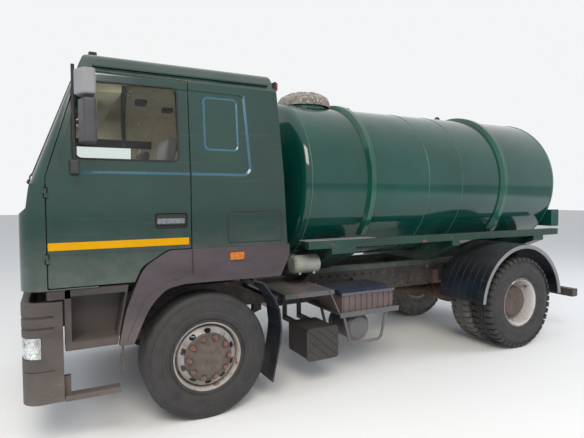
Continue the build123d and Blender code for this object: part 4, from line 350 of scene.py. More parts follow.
def crumpled_film(name):
    """Thick polythene sheet that has lain out for years: grey-brown, creased, and shiny along the creases."""
    made, tree, place = new_finish(name)
    tone = {0: patches(tree, place, 60, detail=6, rough=0.7), 6: "#575049", 7: "#8F887E"}
    tone = add(tree, "ShaderNodeMix", tone, data_type="RGBA").outputs[2]
    shine = patches(tree, place, 40, (0.3, 0.7), (0.18, 0.5), detail=4)
    creases = mottle(tree, place, 45, 6, 0.6, distortion=1.6)
    creases = add(tree, "ShaderNodeBump", {"Height": creases, "Distance": 0.009, "Strength": 0.8})
    surface(tree, {"Base Color": tone, "Roughness": shine, "Coat Weight": 0.5, "Normal": creases})
    return made


def woven_fabric(name):
    """Polyester seat cloth. Its threads are drawn 2.4 mm apart, coarser than real ones, so that they show."""
    made, tree, place = new_finish(name)
    weave = mottle(tree, place, 2.4, 2)
    tone = {0: patches(tree, place, 140, detail=4), 6: "#3D3B3A", 7: "#565250"}
    tone = add(tree, "ShaderNodeMix", tone, data_type="RGBA").outputs[2]
    threads = add(tree, "ShaderNodeMapRange", {0: weave, 1: 0.45, 2: 0.6, 3: 0.0, 4: 0.4})
    tone = add(tree, "ShaderNodeMix", {0: threads, 6: tone, 7: "#6E6A66"}, data_type="RGBA").outputs[2]
    ribs = add(tree, "ShaderNodeBump", {"Height": weave, "Distance": 0.0006, "Strength": 0.6})
    surface(tree, {"Base Color": tone, "Roughness": 0.92, "Sheen Weight": 0.3, "Normal": ribs})
    return made


# Enamels: a deep green, duller and dusty low on the cab, newer and glossier on the tank
cab_enamel = painted_steel("cab_enamel", "#0A2B27", "#10352F", 0.16, low=(1.1, 1.7), dust=0.22, coat=0.45,
                           waves=0.3, scratch=0.06)
tank_enamel = painted_steel("tank_enamel", "#063730", "#09423B", 0.10, low=(1.1, 1.5), dust=0.1, coat=0.28,
                            waves=0.25, gloss=0.42)
band_enamel = painted_steel("band_enamel", "#0A4236", "#125444", 0.22, low=(1.1, 1.5), dust=0.15, coat=0.4)
rail_enamel = painted_steel("rail_enamel", "#0A2B25", "#133A32", 0.35, low=(0.9, 1.3), dust=0.25, rust=0.12)
weld_enamel = painted_steel("weld_enamel", "#2B5C4C", "#3F7362", 0.35, low=(1.1, 1.7), dust=0.2, rust=0.12)

# The pressed lines of the cab are painted bluer than its panels: a painted reflection of the sky on their
# round edges
edge_enamel = painted_steel("edge_enamel", "#1B4858", "#265C6E", 0.22, low=(1.1, 1.5), dust=0.05, coat=0.4)

# The stripe is matt enough to keep its yellow in every light
stripe_paint = painted_steel("stripe_paint", "#C08B00", "#C89400", 0.55, low=(1.2, 1.5), dust=0.0,
                             scratch=0.04, gloss=0.1)

# Chassis black, the dark lid of the battery box, whose blue is a painted sheen of the sky, and steel that has
# lost part of its paint
frame_paint = painted_steel("frame_paint", "#141516", "#212122", 0.55, low=(0.3, 1.2), dust=0.28, rust=0.22)
box_paint = painted_steel("box_paint", "#1A2233", "#283247", 0.28, low=(0.2, 0.7), dust=0.08, rust=0.06)
steel_tube = painted_steel("steel_tube", "#3A3B3D", "#54555A", 0.4, low=(0.0, 0.8), dust=0.3, rust=0.2)
drum_enamel = painted_steel("drum_enamel", "#7E8480", "#A3A8A2", 0.45, low=(0.8, 1.5), dust=0.4, rust=0.3)
wheel_enamel = painted_steel("wheel_enamel", "#C2BFC0", "#E2DEDA", 0.38, low=(0.0, 0.8), dust=0.25, rust=0.22)
rim_enamel = painted_steel("rim_enamel", "#9C9892", "#BDB7AF", 0.45, low=(0.0, 0.8), dust=0.3, rust=0.4)

# Plastics: the arch trims have gone mauve in the sun, the bumper brown, the guards are still black
faded_trim = moulded_plastic("faded_trim", "#322B30", "#463D43", 0.5, low=(0.6, 1.1), dust=0.25)
bumper_plastic = moulded_plastic("bumper_plastic", "#332D2D", "#4C4543", 0.6, low=(0.3, 0.9), dust=0.22)
guard_plastic = moulded_plastic("guard_plastic", "#0D131B", "#1A2430", 0.4, low=(0.2, 0.8), dust=0.12)
battery_plastic = moulded_plastic("battery_plastic", "#4B4040", "#635555", 0.6, dust=0.2)
panel_plastic = moulded_plastic("panel_plastic", "#211F21", "#2E2B2D", 0.6, low=(0.2, 0.8), dust=0.1)
well_inside = moulded_plastic("well_inside", "#2F2A2A", "#413B3A", 0.6, low=(0.3, 1.2), dust=0.2)
well_rim = moulded_plastic("well_rim", "#2B2626", "#413A39", 0.6, low=(0.3, 1.2), dust=0.25)
housing_plastic = moulded_plastic("housing_plastic", "#2B2C30", "#3C3D42", 0.5, low=(1.9, 2.1), dust=0.0)
# Light grey plastic; on the mirror's upper housing its grey is a painted reflection of the sky
grey_plastic = moulded_plastic("grey_plastic", "#6E6F71", "#85868A", 0.6, low=(1.9, 2.1), dust=0.0)
dash_plastic = moulded_plastic("dash_plastic", "#2A2A2C", "#3A393B", 0.6, low=(1.0, 1.2), dust=0.1)

# Iron: orange-brown where it rusts freely, nearly black under oil, and paler on the nuts
axle_iron = rusty_iron("axle_iron", share=0.35)
hub_iron = rusty_iron("hub_iron", "#4A2E22", "#7A4E38", "#3E3430", 0.75)
nut_iron = rusty_iron("nut_iron", "#603E32", "#8E6552", "#5C463D", 0.3)
engine_iron = rusty_iron("engine_iron", "#3A2A22", "#5C463A", "#2A2826", 0.3)
spring_steel = rusty_iron("spring_steel", "#3E2A20", "#5E4436", "#2C2A29", 0.5)

# Aluminium and silvered glass keep a metal's shine; the door's grip is worn steel
fuel_alloy = one_tone("fuel_alloy", "#7F8285", "#9A9C9E", 0.42, 60, 0.4, metallic=0.9)
mirror_glass = one_tone("mirror_glass", "#B9BEC2", "#C4C9CC", 0.06, 80, 0.0, metallic=1.0)
handle_steel = one_tone("handle_steel", "#5E666C", "#858D93", 0.4, 20, 0.1, metallic=0.6)

# Glass and lenses: thin flat panes throw back little of a white room, so the cab's inside shows
window_glass = clear_glass("window_glass", "#F0F5F3", dust=0.01, ior=1.2)
lens_clear = clear_glass("lens_clear", "#E6E4DC", 0.25, 0.5)
lens_orange = one_tone("lens_orange", "#A85A1A", "#C06E22", 0.25)
lens_red = one_tone("lens_red", "#7E1512", "#9C201A", 0.3)

# Rubber beading, whose black also paints the shade in the locker lid's groove and the hub's hole; the painted
# shade inside the grille, whose black also serves the tank's lugs and the recess behind the door handles; and
# what lines the cab
grille_black = one_tone("grille_black", "#101112", "#1A1B1C", 0.6)
seal_rubber = one_tone("seal_rubber", "#141414", "#222122", 0.7, 20)
liner_board = one_tone("liner_board", "#E8D8B4", "#F6E9CC", 0.8, 120, 0.6)
floor_mat = one_tone("floor_mat", "#2A2725", "#3B3733", 0.9, 50, 1.0)
wheel_grip = one_tone("wheel_grip", "#151516", "#202022", 0.5, 10, 0.2)

clouded_lens = cracked_lens("clouded_lens")
cover_film = crumpled_film("cover_film")
seat_fabric = woven_fabric("seat_fabric")


# Meshes: copies of the model's pieces with eased edges, and turned and swept pieces

BODY_OF = {}
for body_name, members in frame["record"]["behaviour"]["bodies"].items():
    for member in members:
        BODY_OF[member] = body_name


def linked(name, data):
    """An object for the data, in the scene."""
    made = bpy.data.objects.new(name, data)
    bpy.context.scene.collection.objects.link(made)
    return made


def place(name, mesh, body, *finishes, slot=None):
    """An object for the mesh, with its finishes, that rides on the body."""
    made = linked(name, mesh)
    for finish in finishes:
        mesh.materials.append(finish)
    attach(made, body)
    return made


def from_shape(name, shape, smooth=None):
    """A mesh from a bmesh, shaded smooth where its faces meet at less than the angle."""
    mesh = bpy.data.meshes.new(name)
    shape.to_mesh(mesh)
    shape.free()
    if smooth is not None:
        mesh.shade_smooth()
        mesh.set_sharp_from_angle(angle=math.radians(smooth))
    return mesh


def evaluated(obj):
    """The mesh that the object's modifiers make, as a plain mesh, with the object removed."""
    graph = bpy.context.evaluated_depsgraph_get()
    graph.update()
    mesh = bpy.data.meshes.new_from_object(obj.evaluated_get(graph))
    bpy.data.objects.remove(obj)
    return mesh


# Two faces larger than this many square metres, which meet at more than this bend, keep a crisp line.
BROAD_PANEL = 0.012
PANEL_BEND = math.radians(1.5)


def eased(node, bevel=0.003, flat=0.4, angle=32, segments=2):
    """A merged copy of a CAD node with its edges rounded a little, as a plain mesh."""
    mesh = frame["nodes"][node].data.copy()
    mesh.materials.clear()
    shape = bmesh.new()
    shape.from_mesh(mesh)
    bmesh.ops.remove_doubles(shape, verts=shape.verts, dist=0.00003)
    bmesh.ops.dissolve_limit(shape, angle_limit=math.radians(flat), verts=shape.verts, edges=shape.edges)
    for face in shape.faces:
        face.smooth = True
        face.material_index = 0
    for edge in shape.edges:
        if len(edge.link_faces) == 2:
            turn = edge.calc_face_angle(0.0)
            broad = min(face.calc_area() for face in edge.link_faces) > BROAD_PANEL
            edge.smooth = not (turn > math.radians(angle) or (broad and turn > PANEL_BEND))
    mesh = bpy.data.meshes.new(node + "_eased")
    shape.to_mesh(mesh)
    shape.free()
    if not bevel:
        return mesh
    holder = linked(node + "_holder", mesh)
    rounding = holder.modifiers.new("edge", "BEVEL")
    rounding.width = bevel
    rounding.segments = segments
    rounding.limit_method = "ANGLE"
    rounding.angle_limit = math.radians(angle)
    rounding.harden_normals = True
    return evaluated(holder)


def dress(node, finishes, rule=None, bevel=0.003, slot=None, flat=0.4, angle=32, name=None):
    """Puts an eased copy in the node's place. The rule picks a finish from a face's centre and normal."""
    mesh = eased(node, bevel, flat, angle)
    made = place(name or node + "_skin", mesh, BODY_OF[node], *finishes, slot=slot)
    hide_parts(node)
    if rule:
        for face in mesh.polygons:
            face.material_index = rule(face.center, face.normal)
    return made


def finish_node(node, finish):
    """Gives the node's own object a better finish, with its shape left as it is."""
    obj = frame["nodes"][node]
    if obj.material_slots:
        for own in obj.material_slots:
            own.link = "OBJECT"
            own.material = finish
    else:
        obj.data.materials.append(finish)


def turned(name, profile, centre, steps=96):
    """A closed profile of radius and Y, turned about a crosswise axis through the centre."""
    shape = bmesh.new()
    rings = []
    for i in range(steps):
        a = 2 * math.pi * i / steps
        ahead, up = math.cos(a), math.sin(a)
        rings.append([shape.verts.new((centre[0] + r * ahead, y, centre[2] + r * up)) for r, y in profile])
    count = len(profile)
    for i, ring in enumerate(rings):
        after = rings[(i + 1) % steps]
        for k in range(count):
            m = (k + 1) % count
            shape.faces.new((ring[k], ring[m], after[m], after[k]))
    bmesh.ops.remove_doubles(shape, verts=shape.verts, dist=0.00001)
    bmesh.ops.recalc_face_normals(shape, faces=shape.faces)
    return from_shape(name, shape, 30)


def rounded(points, radii, steps=6):
    """The points of a closed line with its corners rounded, in the plane of its two numbers."""
    out = []
    count = len(points)
    for i, point in enumerate(points):
        p = Vector(point)
        before = Vector(points[i - 1]) - p
        after = Vector(points[(i + 1) % count]) - p
        r = radii[i] if isinstance(radii, (list, tuple)) else radii
        half = before.angle(after) / 2
        reach = min(r / math.tan(half), before.length * 0.49, after.length * 0.49)
        r = reach * math.tan(half)
        if r < 1e-6:
            out.append(tuple(p))
            continue
        middle = p + (before.normalized() + after.normalized()).normalized() * (r / math.sin(half))
        start, end = p + before.normalized() * reach, p + after.normalized() * reach
        a0, a1 = start - middle, end - middle
        turn = a0.angle_signed(a1)
        base = math.atan2(a0.y, a0.x)
        for k in range(steps + 1):
            a = base - turn * k / steps
            out.append((middle.x + r * math.cos(a), middle.y + r * math.sin(a)))
    return out


def bead(name, points, radius, closed=True, sides=8):
    """A round bead along the points, as a plain mesh."""
    curve = bpy.data.curves.new(name, "CURVE")
    curve.dimensions = "3D"
    curve.bevel_depth = radius
    curve.bevel_resolution = max(0, sides // 4 - 1)
    curve.use_fill_caps = not closed
    line = curve.splines.new("POLY")
    line.points.add(len(points) - 1)
    for spot, point in zip(line.points, points):
        spot.co = (*point, 1)
    line.use_cyclic_u = closed
    holder = linked(name + "_holder", curve)
    mesh = evaluated(holder)
    bpy.data.curves.remove(curve)
    mesh.materials.clear()
    shape = bmesh.new()
    shape.from_mesh(mesh)
    bmesh.ops.recalc_face_normals(shape, faces=shape.faces)
    return from_shape(name, shape, 50)


def mirrored(mesh, name):
    """The same mesh on the truck's right-hand side, with its faces outwards."""
    shape = bmesh.new()
    shape.from_mesh(mesh)
    for vert in shape.verts:
        vert.co.y = -vert.co.y
    bmesh.ops.reverse_faces(shape, faces=shape.faces)
    made = bpy.data.meshes.new(name)
    shape.to_mesh(made)
    shape.free()
    for edge, other in zip(mesh.edges, made.edges):
        other.use_edge_sharp = edge.use_edge_sharp
    return made


def on_both(name, mesh, bodies, *finishes, slot=None):
    """The mesh on the left, and its mirror image on the right."""
    left = place(name + "_left", mesh, bodies[0], *finishes, slot=slot)
    other = place(name + "_right", mirrored(mesh, name + "_right"), bodies[1], *finishes, slot=slot)
    return left, other


# Geometry Nodes: one tree sets a piece round a circle, the other sets it along a line

def new_tree(name, inputs):
    """An empty tree that takes a piece and the named inputs, and gives back a shape."""
    tree = bpy.data.node_groups.new(name, "GeometryNodeTree")
    tree.interface.new_socket("Piece", in_out="INPUT", socket_type="NodeSocketGeometry")
    for label, kind in inputs.items():
        tree.interface.new_socket(label, in_out="INPUT", socket_type="NodeSocket" + kind)
    tree.interface.new_socket("Geometry", in_out="OUTPUT", socket_type="NodeSocketGeometry")
    return tree, tree.nodes.new("NodeGroupInput").outputs


def close_tree(tree, shape, finish):
    """Ends a tree: the copies become real, and take the finish."""
    real = add(tree, "GeometryNodeRealizeInstances", {0: shape})
    painted = add(tree, "GeometryNodeSetMaterial", {"Geometry": real, "Material": finish})
    add(tree, "NodeGroupOutput", {0: painted})


def ring_of_pieces():
    """Copies of a piece round a circle, which is stood up about X and carried to its centre."""
    kinds = {"Count": "Int", "Radius": "Float", "First turn": "Float", "Centre": "Vector",
             "Axis turn": "Float", "Finish": "Material"}
    tree, given = new_tree("ring_of_pieces", kinds)
    circle = add(tree, "GeometryNodeMeshCircle", {"Vertices": given["Count"], "Radius": given["Radius"]})
    index = add(tree, "GeometryNodeInputIndex")
    share = add(tree, "ShaderNodeMath", {0: index, 1: given["Count"]}, operation="DIVIDE")
    angle = add(tree, "ShaderNodeMath", {0: share, 1: 2 * math.pi}, operation="MULTIPLY")
    spin = add(tree, "ShaderNodeCombineXYZ", {"Z": angle})
    copies = {"Points": circle, "Instance": given["Piece"], "Rotation": spin}
    copies = add(tree, "GeometryNodeInstanceOnPoints", copies)
    first = add(tree, "ShaderNodeCombineXYZ", {"Z": given["First turn"]})
    turned_first = add(tree, "GeometryNodeTransform", {"Geometry": copies, "Rotation": first})
    about_x = add(tree, "ShaderNodeCombineXYZ", {"X": given["Axis turn"]})
    stood_up = {"Geometry": turned_first, "Translation": given["Centre"], "Rotation": about_x}
    close_tree(tree, add(tree, "GeometryNodeTransform", stood_up), given["Finish"])
    return tree


def row_of_pieces():
    """Copies of a piece along a line, one step apart."""
    kinds = {"Count": "Int", "Start": "Vector", "Step": "Vector", "Finish": "Material"}
    tree, given = new_tree("row_of_pieces", kinds)
    line = {"Count": given["Count"], "Start Location": given["Start"], "Offset": given["Step"]}
    line = add(tree, "GeometryNodeMeshLine", line)
    copies = add(tree, "GeometryNodeInstanceOnPoints", {"Points": line, "Instance": given["Piece"]})
    close_tree(tree, copies, given["Finish"])
    return tree


RING, ROW = ring_of_pieces(), row_of_pieces()


def repeat(name, piece, tree, body, slot=None, **values):
    """Runs a tree on a piece, with its inputs by name, and keeps the result as a plain mesh on the body."""
    holder = linked(name + "_holder", piece)
    modifier = holder.modifiers.new("repeat", "NODES")
    modifier.node_group = tree
    for item in tree.interface.items_tree:
        key = item.name.replace(" ", "_").lower()
        if item.in_out == "INPUT" and key in values:
            modifier[item.identifier] = values[key]
    mesh = evaluated(holder)
    mesh.name = name
    return place(name, mesh, body, slot=slot)


def nut_mesh(across, height, bore):
    """A hexagonal nut on a washer, with a rounded top and the end of its stud, standing on Z."""
    shape = bmesh.new()
    half = across / 2
    bmesh.ops.create_cone(shape, cap_ends=True, segments=6, radius1=half, radius2=half, depth=height)
    bmesh.ops.translate(shape, vec=(0, 0, height / 2), verts=shape.verts)
    top = [edge for edge in shape.edges if all(v.co.z > height * 0.9 for v in edge.verts)]
    bmesh.ops.bevel(shape, geom=top, offset=across * 0.09, segments=1, affect="EDGES")
    at = Matrix.Translation((0, 0, height * 1.2))
    bmesh.ops.create_cone(shape, cap_ends=True, segments=8, radius1=bore, radius2=bore * 0.8,
                          depth=height * 0.5, matrix=at)
    at = Matrix.Translation((0, 0, height * 0.06))
    bmesh.ops.create_cone(shape, cap_ends=True, segments=12, radius1=across * 0.68, radius2=across * 0.66,
                          depth=height * 0.12, matrix=at)
    return from_shape("nut", shape, 30)


# The model's own pieces, with eased edges and a finish for each face

HANDLE_RECESS = {"x": (2.17, 2.43), "y": (1.2, CAB_HALF_W - 0.003), "z": (1.615, 1.746)}
CAB_ROOM = {"x": (1.31, 3.4)}
CEILING = {"x": (1.32, 2.98), "y": (0, 1.12)}
FLOOR = {"x": (1.3, 3.3), "y": (0, 1.19), "z": (1.2, 1.8)}
MARKER_LAMP = {"x": (1.69, 1.83), "y": (1.2565, 1.3), "z": (1.34, 1.41)}
ARCH_FOOT_X, ARCH_FOOT_Z, ARCH_LEAN = 2.716, 0.755, 0.28


def within(p, x=(-9, 9), y=(-9, 9), z=(-9, 9)):
    """Whether a point is in a box. Y is taken without its sign, so that both sides are the same."""
    return x[0] <= p.x <= x[1] and y[0] <= abs(p.y) <= y[1] and z[0] <= p.z <= z[1]


def skin_y(z):
    """The cab's outer half width at a height: upright to the belt, and leaning in above it."""
    return CAB_HALF_W - max(0.0, z - BELT_Z) * SIDE_LEAN


def looks_out(p, n):
    """How much a face on either side looks away from the truck's middle."""
    return n.y if p.y > 0 else -n.y


def cab_wall(p, n):
    """0 is the painted outside and 1 the lining that is seen from inside."""
    if abs(p.y) > skin_y(p.z) - 0.05 and looks_out(p, n) > -0.4:
        return 0
    return 1 if looks_out(p, n) < -0.5 and within(p, **CAB_ROOM) else 0


def door_wall(p, n):
    """0 paint, 1 lining, 2 the dark recess behind the handle."""
    if within(p, **HANDLE_RECESS):
        return 2
    return 1 if looks_out(p, n) < -0.6 else 0


def roof_wall(p, n):
    """0 paint, 1 the ceiling's lining."""
    return 1 if n.z < -0.6 and within(p, **CEILING) else 0


def back_wall(p, n):
    """0 paint, 1 the lining behind the bunk."""
    return 1 if n.x > 0.6 and p.x > 1.29 and abs(p.y) < 1.19 else 0


def front_wall(p, n):
    """Pillars and front wall: 0 paint outside, 1 grey moulding inside."""
    pillar_inside = looks_out(p, n) < -0.7 and abs(p.y) < 1.2 and p.x < 3.2
    return 1 if n.x < -0.5 or pillar_inside else 0


def floor_face(p, n):
    """0 the painted underside, 1 the mat."""
    return 1 if n.z > 0.5 and within(p, **FLOOR) else 0


def trim_face(p, n):
    """0 the faded arch trims, 1 the side markers, 2 dark plastic: the arch's inside, and the front edge by
    the step well, whose dark is painted shade that blends with the well's pocket.
    """
    if within(p, **MARKER_LAMP):
        return 1
    # Faces by the step well get the dark plastic as painted shade, matching the pocket behind them
    edge_x = ARCH_FOOT_X + (ARCH_FOOT_Z - p.z) * ARCH_LEAN
    if p.x > 2.56 and within(p, y=(1.0, 1.242)) and p.x > min(ARCH_FOOT_X, edge_x - 0.002):
        return 2
    return 2 if abs(p.y) <= 1.16 and abs(n.y) < 0.5 else 0


lined = [cab_enamel, liner_board]
dress("cab_sides", lined, cab_wall, bevel=0.004, slot="cab_paint")
dress("cab_roof", lined, roof_wall, bevel=0.004, slot="cab_paint", flat=0.2)
dress("cab_back", lined, back_wall, bevel=0.004, slot="cab_paint")
dress("cab_front", [cab_enamel, dash_plastic], front_wall, bevel=0.004, slot="cab_paint")
for side in SIDES:
    dress("door_" + side, [*lined, grille_black], door_wall, bevel=0.003, slot="cab_paint")
    finish_node("door_glass_" + side, window_glass)
finish_node("windscreen", window_glass)
dress("cab_floor", [frame_paint, floor_mat], floor_face, bevel=0.004, slot="chassis_paint")
trims = dress("cab_trims", [faded_trim, lens_orange, panel_plastic], trim_face, bevel=0.004,
              slot="trim_plastic", angle=28)


# The step wells, with a rear wall that leans with the arch trim

WELL_Y = (1.020, 1.240)
WELL_OUTER = [(ARCH_FOOT_X, ARCH_FOOT_Z), (2.628, 1.205), (3.073, 1.205), (3.073, ARCH_FOOT_Z)]
WELL_POCKET = [(2.718, 0.817), (2.653, 1.150), (3.028, 1.150), (3.028, 0.817)]
WELL_BACK_T = 0.014
SILL_BOX = ((3.028, 3.186), (1.210, 1.240), (1.135, 1.205))
WELL_ROOM = {"x": (2.6, 3.19), "y": (1.015, 1.245), "z": (0.74, 1.21)}


def joined_to(vert):
    """Every vertex that edges join to this one."""
    found, ahead = {vert}, [vert]
    while ahead:
        for edge in ahead.pop().link_edges:
            for other in edge.verts:
                if other not in found:
                    found.add(other)
                    ahead.append(other)
    return found


def take_out_wells(mesh):
    """Removes the straight wells and the panels behind them, which the leaning wells stand for."""
    shape = bmesh.new()
    shape.from_mesh(mesh)
    left = set(shape.verts)
    gone = []
    while left:
        island = joined_to(next(iter(left)))
        left -= island
        if all(within(vert.co, **WELL_ROOM) for vert in island):
            gone += island
    bmesh.ops.delete(shape, geom=gone, context="VERTS")
    shape.to_mesh(mesh)
    shape.free()


def well_mesh():
    """A box that is open to the side, with the sill that runs from it to the front wall."""
    shape = bmesh.new()
    y0, y1 = WELL_Y
    loops = []
    steps = [(WELL_OUTER, y0), (WELL_OUTER, y1), (WELL_POCKET, y1), (WELL_POCKET, y0 + WELL_BACK_T)]
    for corners, y in steps:
        loops.append([shape.verts.new((x, y, z)) for x, z in corners])
    for first, second in zip(loops, loops[1:]):
        for i in range(4):
            k = (i + 1) % 4
            shape.faces.new((first[i], first[k], second[k], second[i]))
    shape.faces.new(loops[0])
    shape.faces.new(loops[3])
    sizes = [high - low for low, high in SILL_BOX]
    middle = [(low + high) / 2 for low, high in SILL_BOX]
    bmesh.ops.create_cube(shape, size=1.0, matrix=Matrix.LocRotScale(middle, None, sizes))
    bmesh.ops.recalc_face_normals(shape, faces=shape.faces)
    bmesh.ops.bevel(shape, geom=list(shape.edges), offset=0.004, segments=2, affect="EDGES")
    return from_shape("step_well", shape, 40)


take_out_wells(trims.data)
well = well_mesh()
for face in well.polygons:
    rim = face.center.y > 1.2 and abs(face.normal.y) > 0.5
    tread = face.normal.z > 0.5 and face.center.z < 0.85
    face.material_index = 1 if rim or tread else 0
on_both("step_well", well, BOTH_CABS, well_inside, well_rim, slot="trim_plastic")


# Boxes in which a face of the front panel, the tank's fittings or the side boxes gets another finish
GRILLE_ROWS = [1.313 + 0.0675 * i for i in range(6)]
SLOT_HALF = 0.024
GRILLE_SKIN_X, GRILLE_HALF_W = 3.341, 0.93
RAIL_PLATE = {"x": (0.05, 9), "y": (0.8, 9), "z": (1.426, 9)}
FRONT_LUG = {"x": (-0.36, -0.04), "y": (0, 0.3), "z": (2.93, 9)}
REAR_LUG = {"x": (-1.88, -1.56), "y": (0, 0.3), "z": (2.93, 9)}
BAND_AT, BAND_HALF = (0.08, -1.99), 0.06
DRUM = {"x": (0.65, 0.965), "y": (0.5, 1.0), "z": (1.07, 1.27)}
LOWER_PANEL = {"x": (0.64, 1.01), "y": (0.69, 1.11), "z": (0.27, 0.61)}
BATTERY_BOX = {"x": (-0.05, 0.62), "y": (0.60, 1.1), "z": (0.7115, 0.96)}
BATTERY_LID_Z = 0.862
MIRROR_PAD = {"x": (2.8, 3.05), "y": (1.3, 9), "z": (2.02, 2.14)}
UPPER_HOUSING = {"y": (1.365, 9), "z": (2.56, 2.75)}
MAIN_HOUSING = {"y": (1.365, 9), "z": (2.235, 2.545)}


def panel_face(p, n):
    """0 the front panel's paint, 1 the shade deep in its slots."""
    in_slot = any(abs(p.z - row) < SLOT_HALF for row in GRILLE_ROWS) and abs(p.y) < GRILLE_HALF_W
    aside = abs(n.z) > 0.5 or abs(n.y) > 0.5
    return 1 if p.x < GRILLE_SKIN_X and aside and in_slot else 0


def subframe_face(p, n):
    """0 green rails, 1 the grey plate on the front end of the side rail."""
    return 1 if within(p, **RAIL_PLATE) else 0


def fuel_tank_face(p, n):
    """0 bare alloy, 1 the black straps and brackets, which stand behind, above and below it."""
    return 1 if p.y > -0.58 or p.z > 0.962 or p.z < 0.418 else 0


def fitting_face(p, n):
    """0 band green, 1 tank green, 2 black steel of the lugs and the outlet."""
    if p.x < -3.30 or within(p, **FRONT_LUG) or within(p, **REAR_LUG):
        return 2
    return 0 if any(abs(p.x - x) < BAND_HALF for x in BAND_AT) else 1


def side_box_face(p, n):
    """The left side's boxes: 0 dark lid with a painted blue sky sheen, 1 ribbed battery side, 2 steel, 3
    lower panel, 4 pale drum.
    """
    if p.y < 0:
        return 2
    if within(p, **DRUM):
        return 4
    if within(p, **LOWER_PANEL):
        return 3
    if within(p, **BATTERY_BOX):
        return 0 if p.z > BATTERY_LID_Z or n.z > 0.7 else 1
    return 2


def mudguard_face(p, n):
    """0 the ribbed black guards, 1 the grey rolled outer edge."""
    return 1 if p.x < -1 and abs(p.y) > 1.222 else 0


def lamp_face(p, n):
    """0 housing, 1 the headlamps, 2 red tail lamps."""
    if p.x > 0:
        return 1
    return 2 if n.x < -0.7 else 0


def fitting_colour(p, n):
    """0 black tube, 1 dark main housing, 2 upper housing in light grey, a painted reflection of the sky, 3
    brown-grey lower pad.
    """
    if within(p, **MIRROR_PAD):
        return 3
    if within(p, **UPPER_HOUSING):
        return 2
    return 1 if within(p, **MAIN_HOUSING) else 0


# Pieces of one finish: node, finish, edge radius, slot, and the bend from which an edge counts
PLAIN = [
    ("bumper", bumper_plastic, 0.006, "bumper_paint", 28),
    ("dashboard", dash_plastic, 0.012, "interior", 32),
    ("steering_wheel", wheel_grip, 0, "interior", 32),
    ("seat_bases", dash_plastic, 0.006, "interior", 32),
    ("tank", tank_enamel, 0, "tank_paint", 25),
    ("frame_rails", frame_paint, 0.003, "chassis_paint", 32),
    ("cross_members", frame_paint, 0.003, "chassis_paint", 32),
    ("drive_train", engine_iron, 0.006, "cast_iron", 32),
    ("front_axle", axle_iron, 0.005, "cast_iron", 32),
    ("rear_axle", axle_iron, 0.005, "cast_iron", 32),
    ("leaf_springs", spring_steel, 0.002, "cast_iron", 32),
    ("knuckle_left", axle_iron, 0.003, "cast_iron", 32),
    ("knuckle_right", axle_iron, 0.003, "cast_iron", 32),
    ("tie_rod", axle_iron, 0.002, "cast_iron", 32),
    ("rear_bar", frame_paint, 0.005, "chassis_paint", 32),
    ("hatch_lid", tank_enamel, 0.003, "tank_paint", 32),
]
for node, finish, radius, slot, angle in PLAIN:
    dress(node, [finish], bevel=radius, slot=slot, angle=angle)

dress("front_panel", [cab_enamel, grille_black], panel_face, slot="cab_paint")
dress("subframe", [rail_enamel, grey_plastic], subframe_face, bevel=0.004, slot="tank_paint")
dress("fuel_tank", [fuel_alloy, frame_paint], fuel_tank_face, bevel=0.004, slot="fuel_tank")
dress("tank_fittings", [band_enamel, tank_enamel, grille_black], fitting_face, slot="tank_paint")
dress("side_boxes", [box_paint, battery_plastic, steel_tube, panel_plastic, drum_enamel], side_box_face,
      bevel=0.004, slot="chassis_paint", angle=28)
dress("mudguards", [guard_plastic, grey_plastic], mudguard_face, slot="trim_plastic", angle=28)
dress("lamps", [housing_plastic, clouded_lens, lens_red], lamp_face, bevel=0.002, slot="lens")
for node in ("door_fittings_left", "door_fittings_right"):
    colours = [seal_rubber, housing_plastic, grey_plastic, panel_plastic]
    dress(node, colours, fitting_colour, slot="trim_plastic")


# Tyres, turned in full and given their tread: worn ribs in front, blocky lugs behind

LUGS = 42
LUG_SECTION = [
    (REAR_R - 0.027, 0.045), (REAR_R - 0.001, 0.050), (REAR_R - 0.001, 0.108),
    (REAR_R - 0.012, 0.133), (REAR_R - 0.048, 0.1455), (REAR_R - 0.052, 0.120),
]
FRONT_GROOVES = [(0.074, 0.012, 0.009), (0.026, 0.011, 0.009), (-0.026, 0.011, 0.009), (-0.074, 0.012, 0.009)]
REAR_GROOVES = [(0.020, 0.012, 0.012), (-0.020, 0.012, 0.012)]
TYRE_STEPS = 112
REAR_CASING_R = REAR_R - 0.020
STAND_UP = -math.pi / 2


def tyre_profile(middle, tread_r, half, grooves):
    """Radius and Y round one tyre: tread with grooves, rounded shoulder, sidewall with rings, and bead."""
    side = [
        (tread_r - 0.004, half * 0.74), (tread_r - 0.012, half * 0.80), (tread_r - 0.030, half * 0.862),
        (tread_r - 0.050, half * 0.90), (tread_r - 0.054, half * 0.895), (tread_r - 0.058, half * 0.925),
        (tread_r - 0.085, half * 0.972), (tread_r - 0.115, half * 0.998), (tread_r - 0.140, half * 1.0),
        (tread_r - 0.144, half * 0.985), (tread_r - 0.150, half * 0.985), (tread_r - 0.154, half * 0.995),
        (tread_r - 0.180, half * 0.97), (tread_r - 0.206, half * 0.91), (RIM_R + 0.030, half * 0.84),
        (RIM_R + 0.026, half * 0.865), (RIM_R + 0.018, half * 0.865), (RIM_R + 0.014, half * 0.83),
        (RIM_R + 0.002, half * 0.79), (RIM_R + 0.001, half * 0.66),
    ]
    tread = [(tread_r, half * 0.70)]
    for at, width, depth in grooves:
        floor_r, lip, foot = tread_r - depth, width / 2, width * 0.3
        tread += [(tread_r, at + lip), (floor_r, at + foot), (floor_r, at - foot), (tread_r, at - lip)]
    tread.append((tread_r, -half * 0.70))
    whole = [(r, y) for r, y in reversed(side)] + tread + [(r, -y) for r, y in side]
    return [(r, middle + y) for r, y in whole]


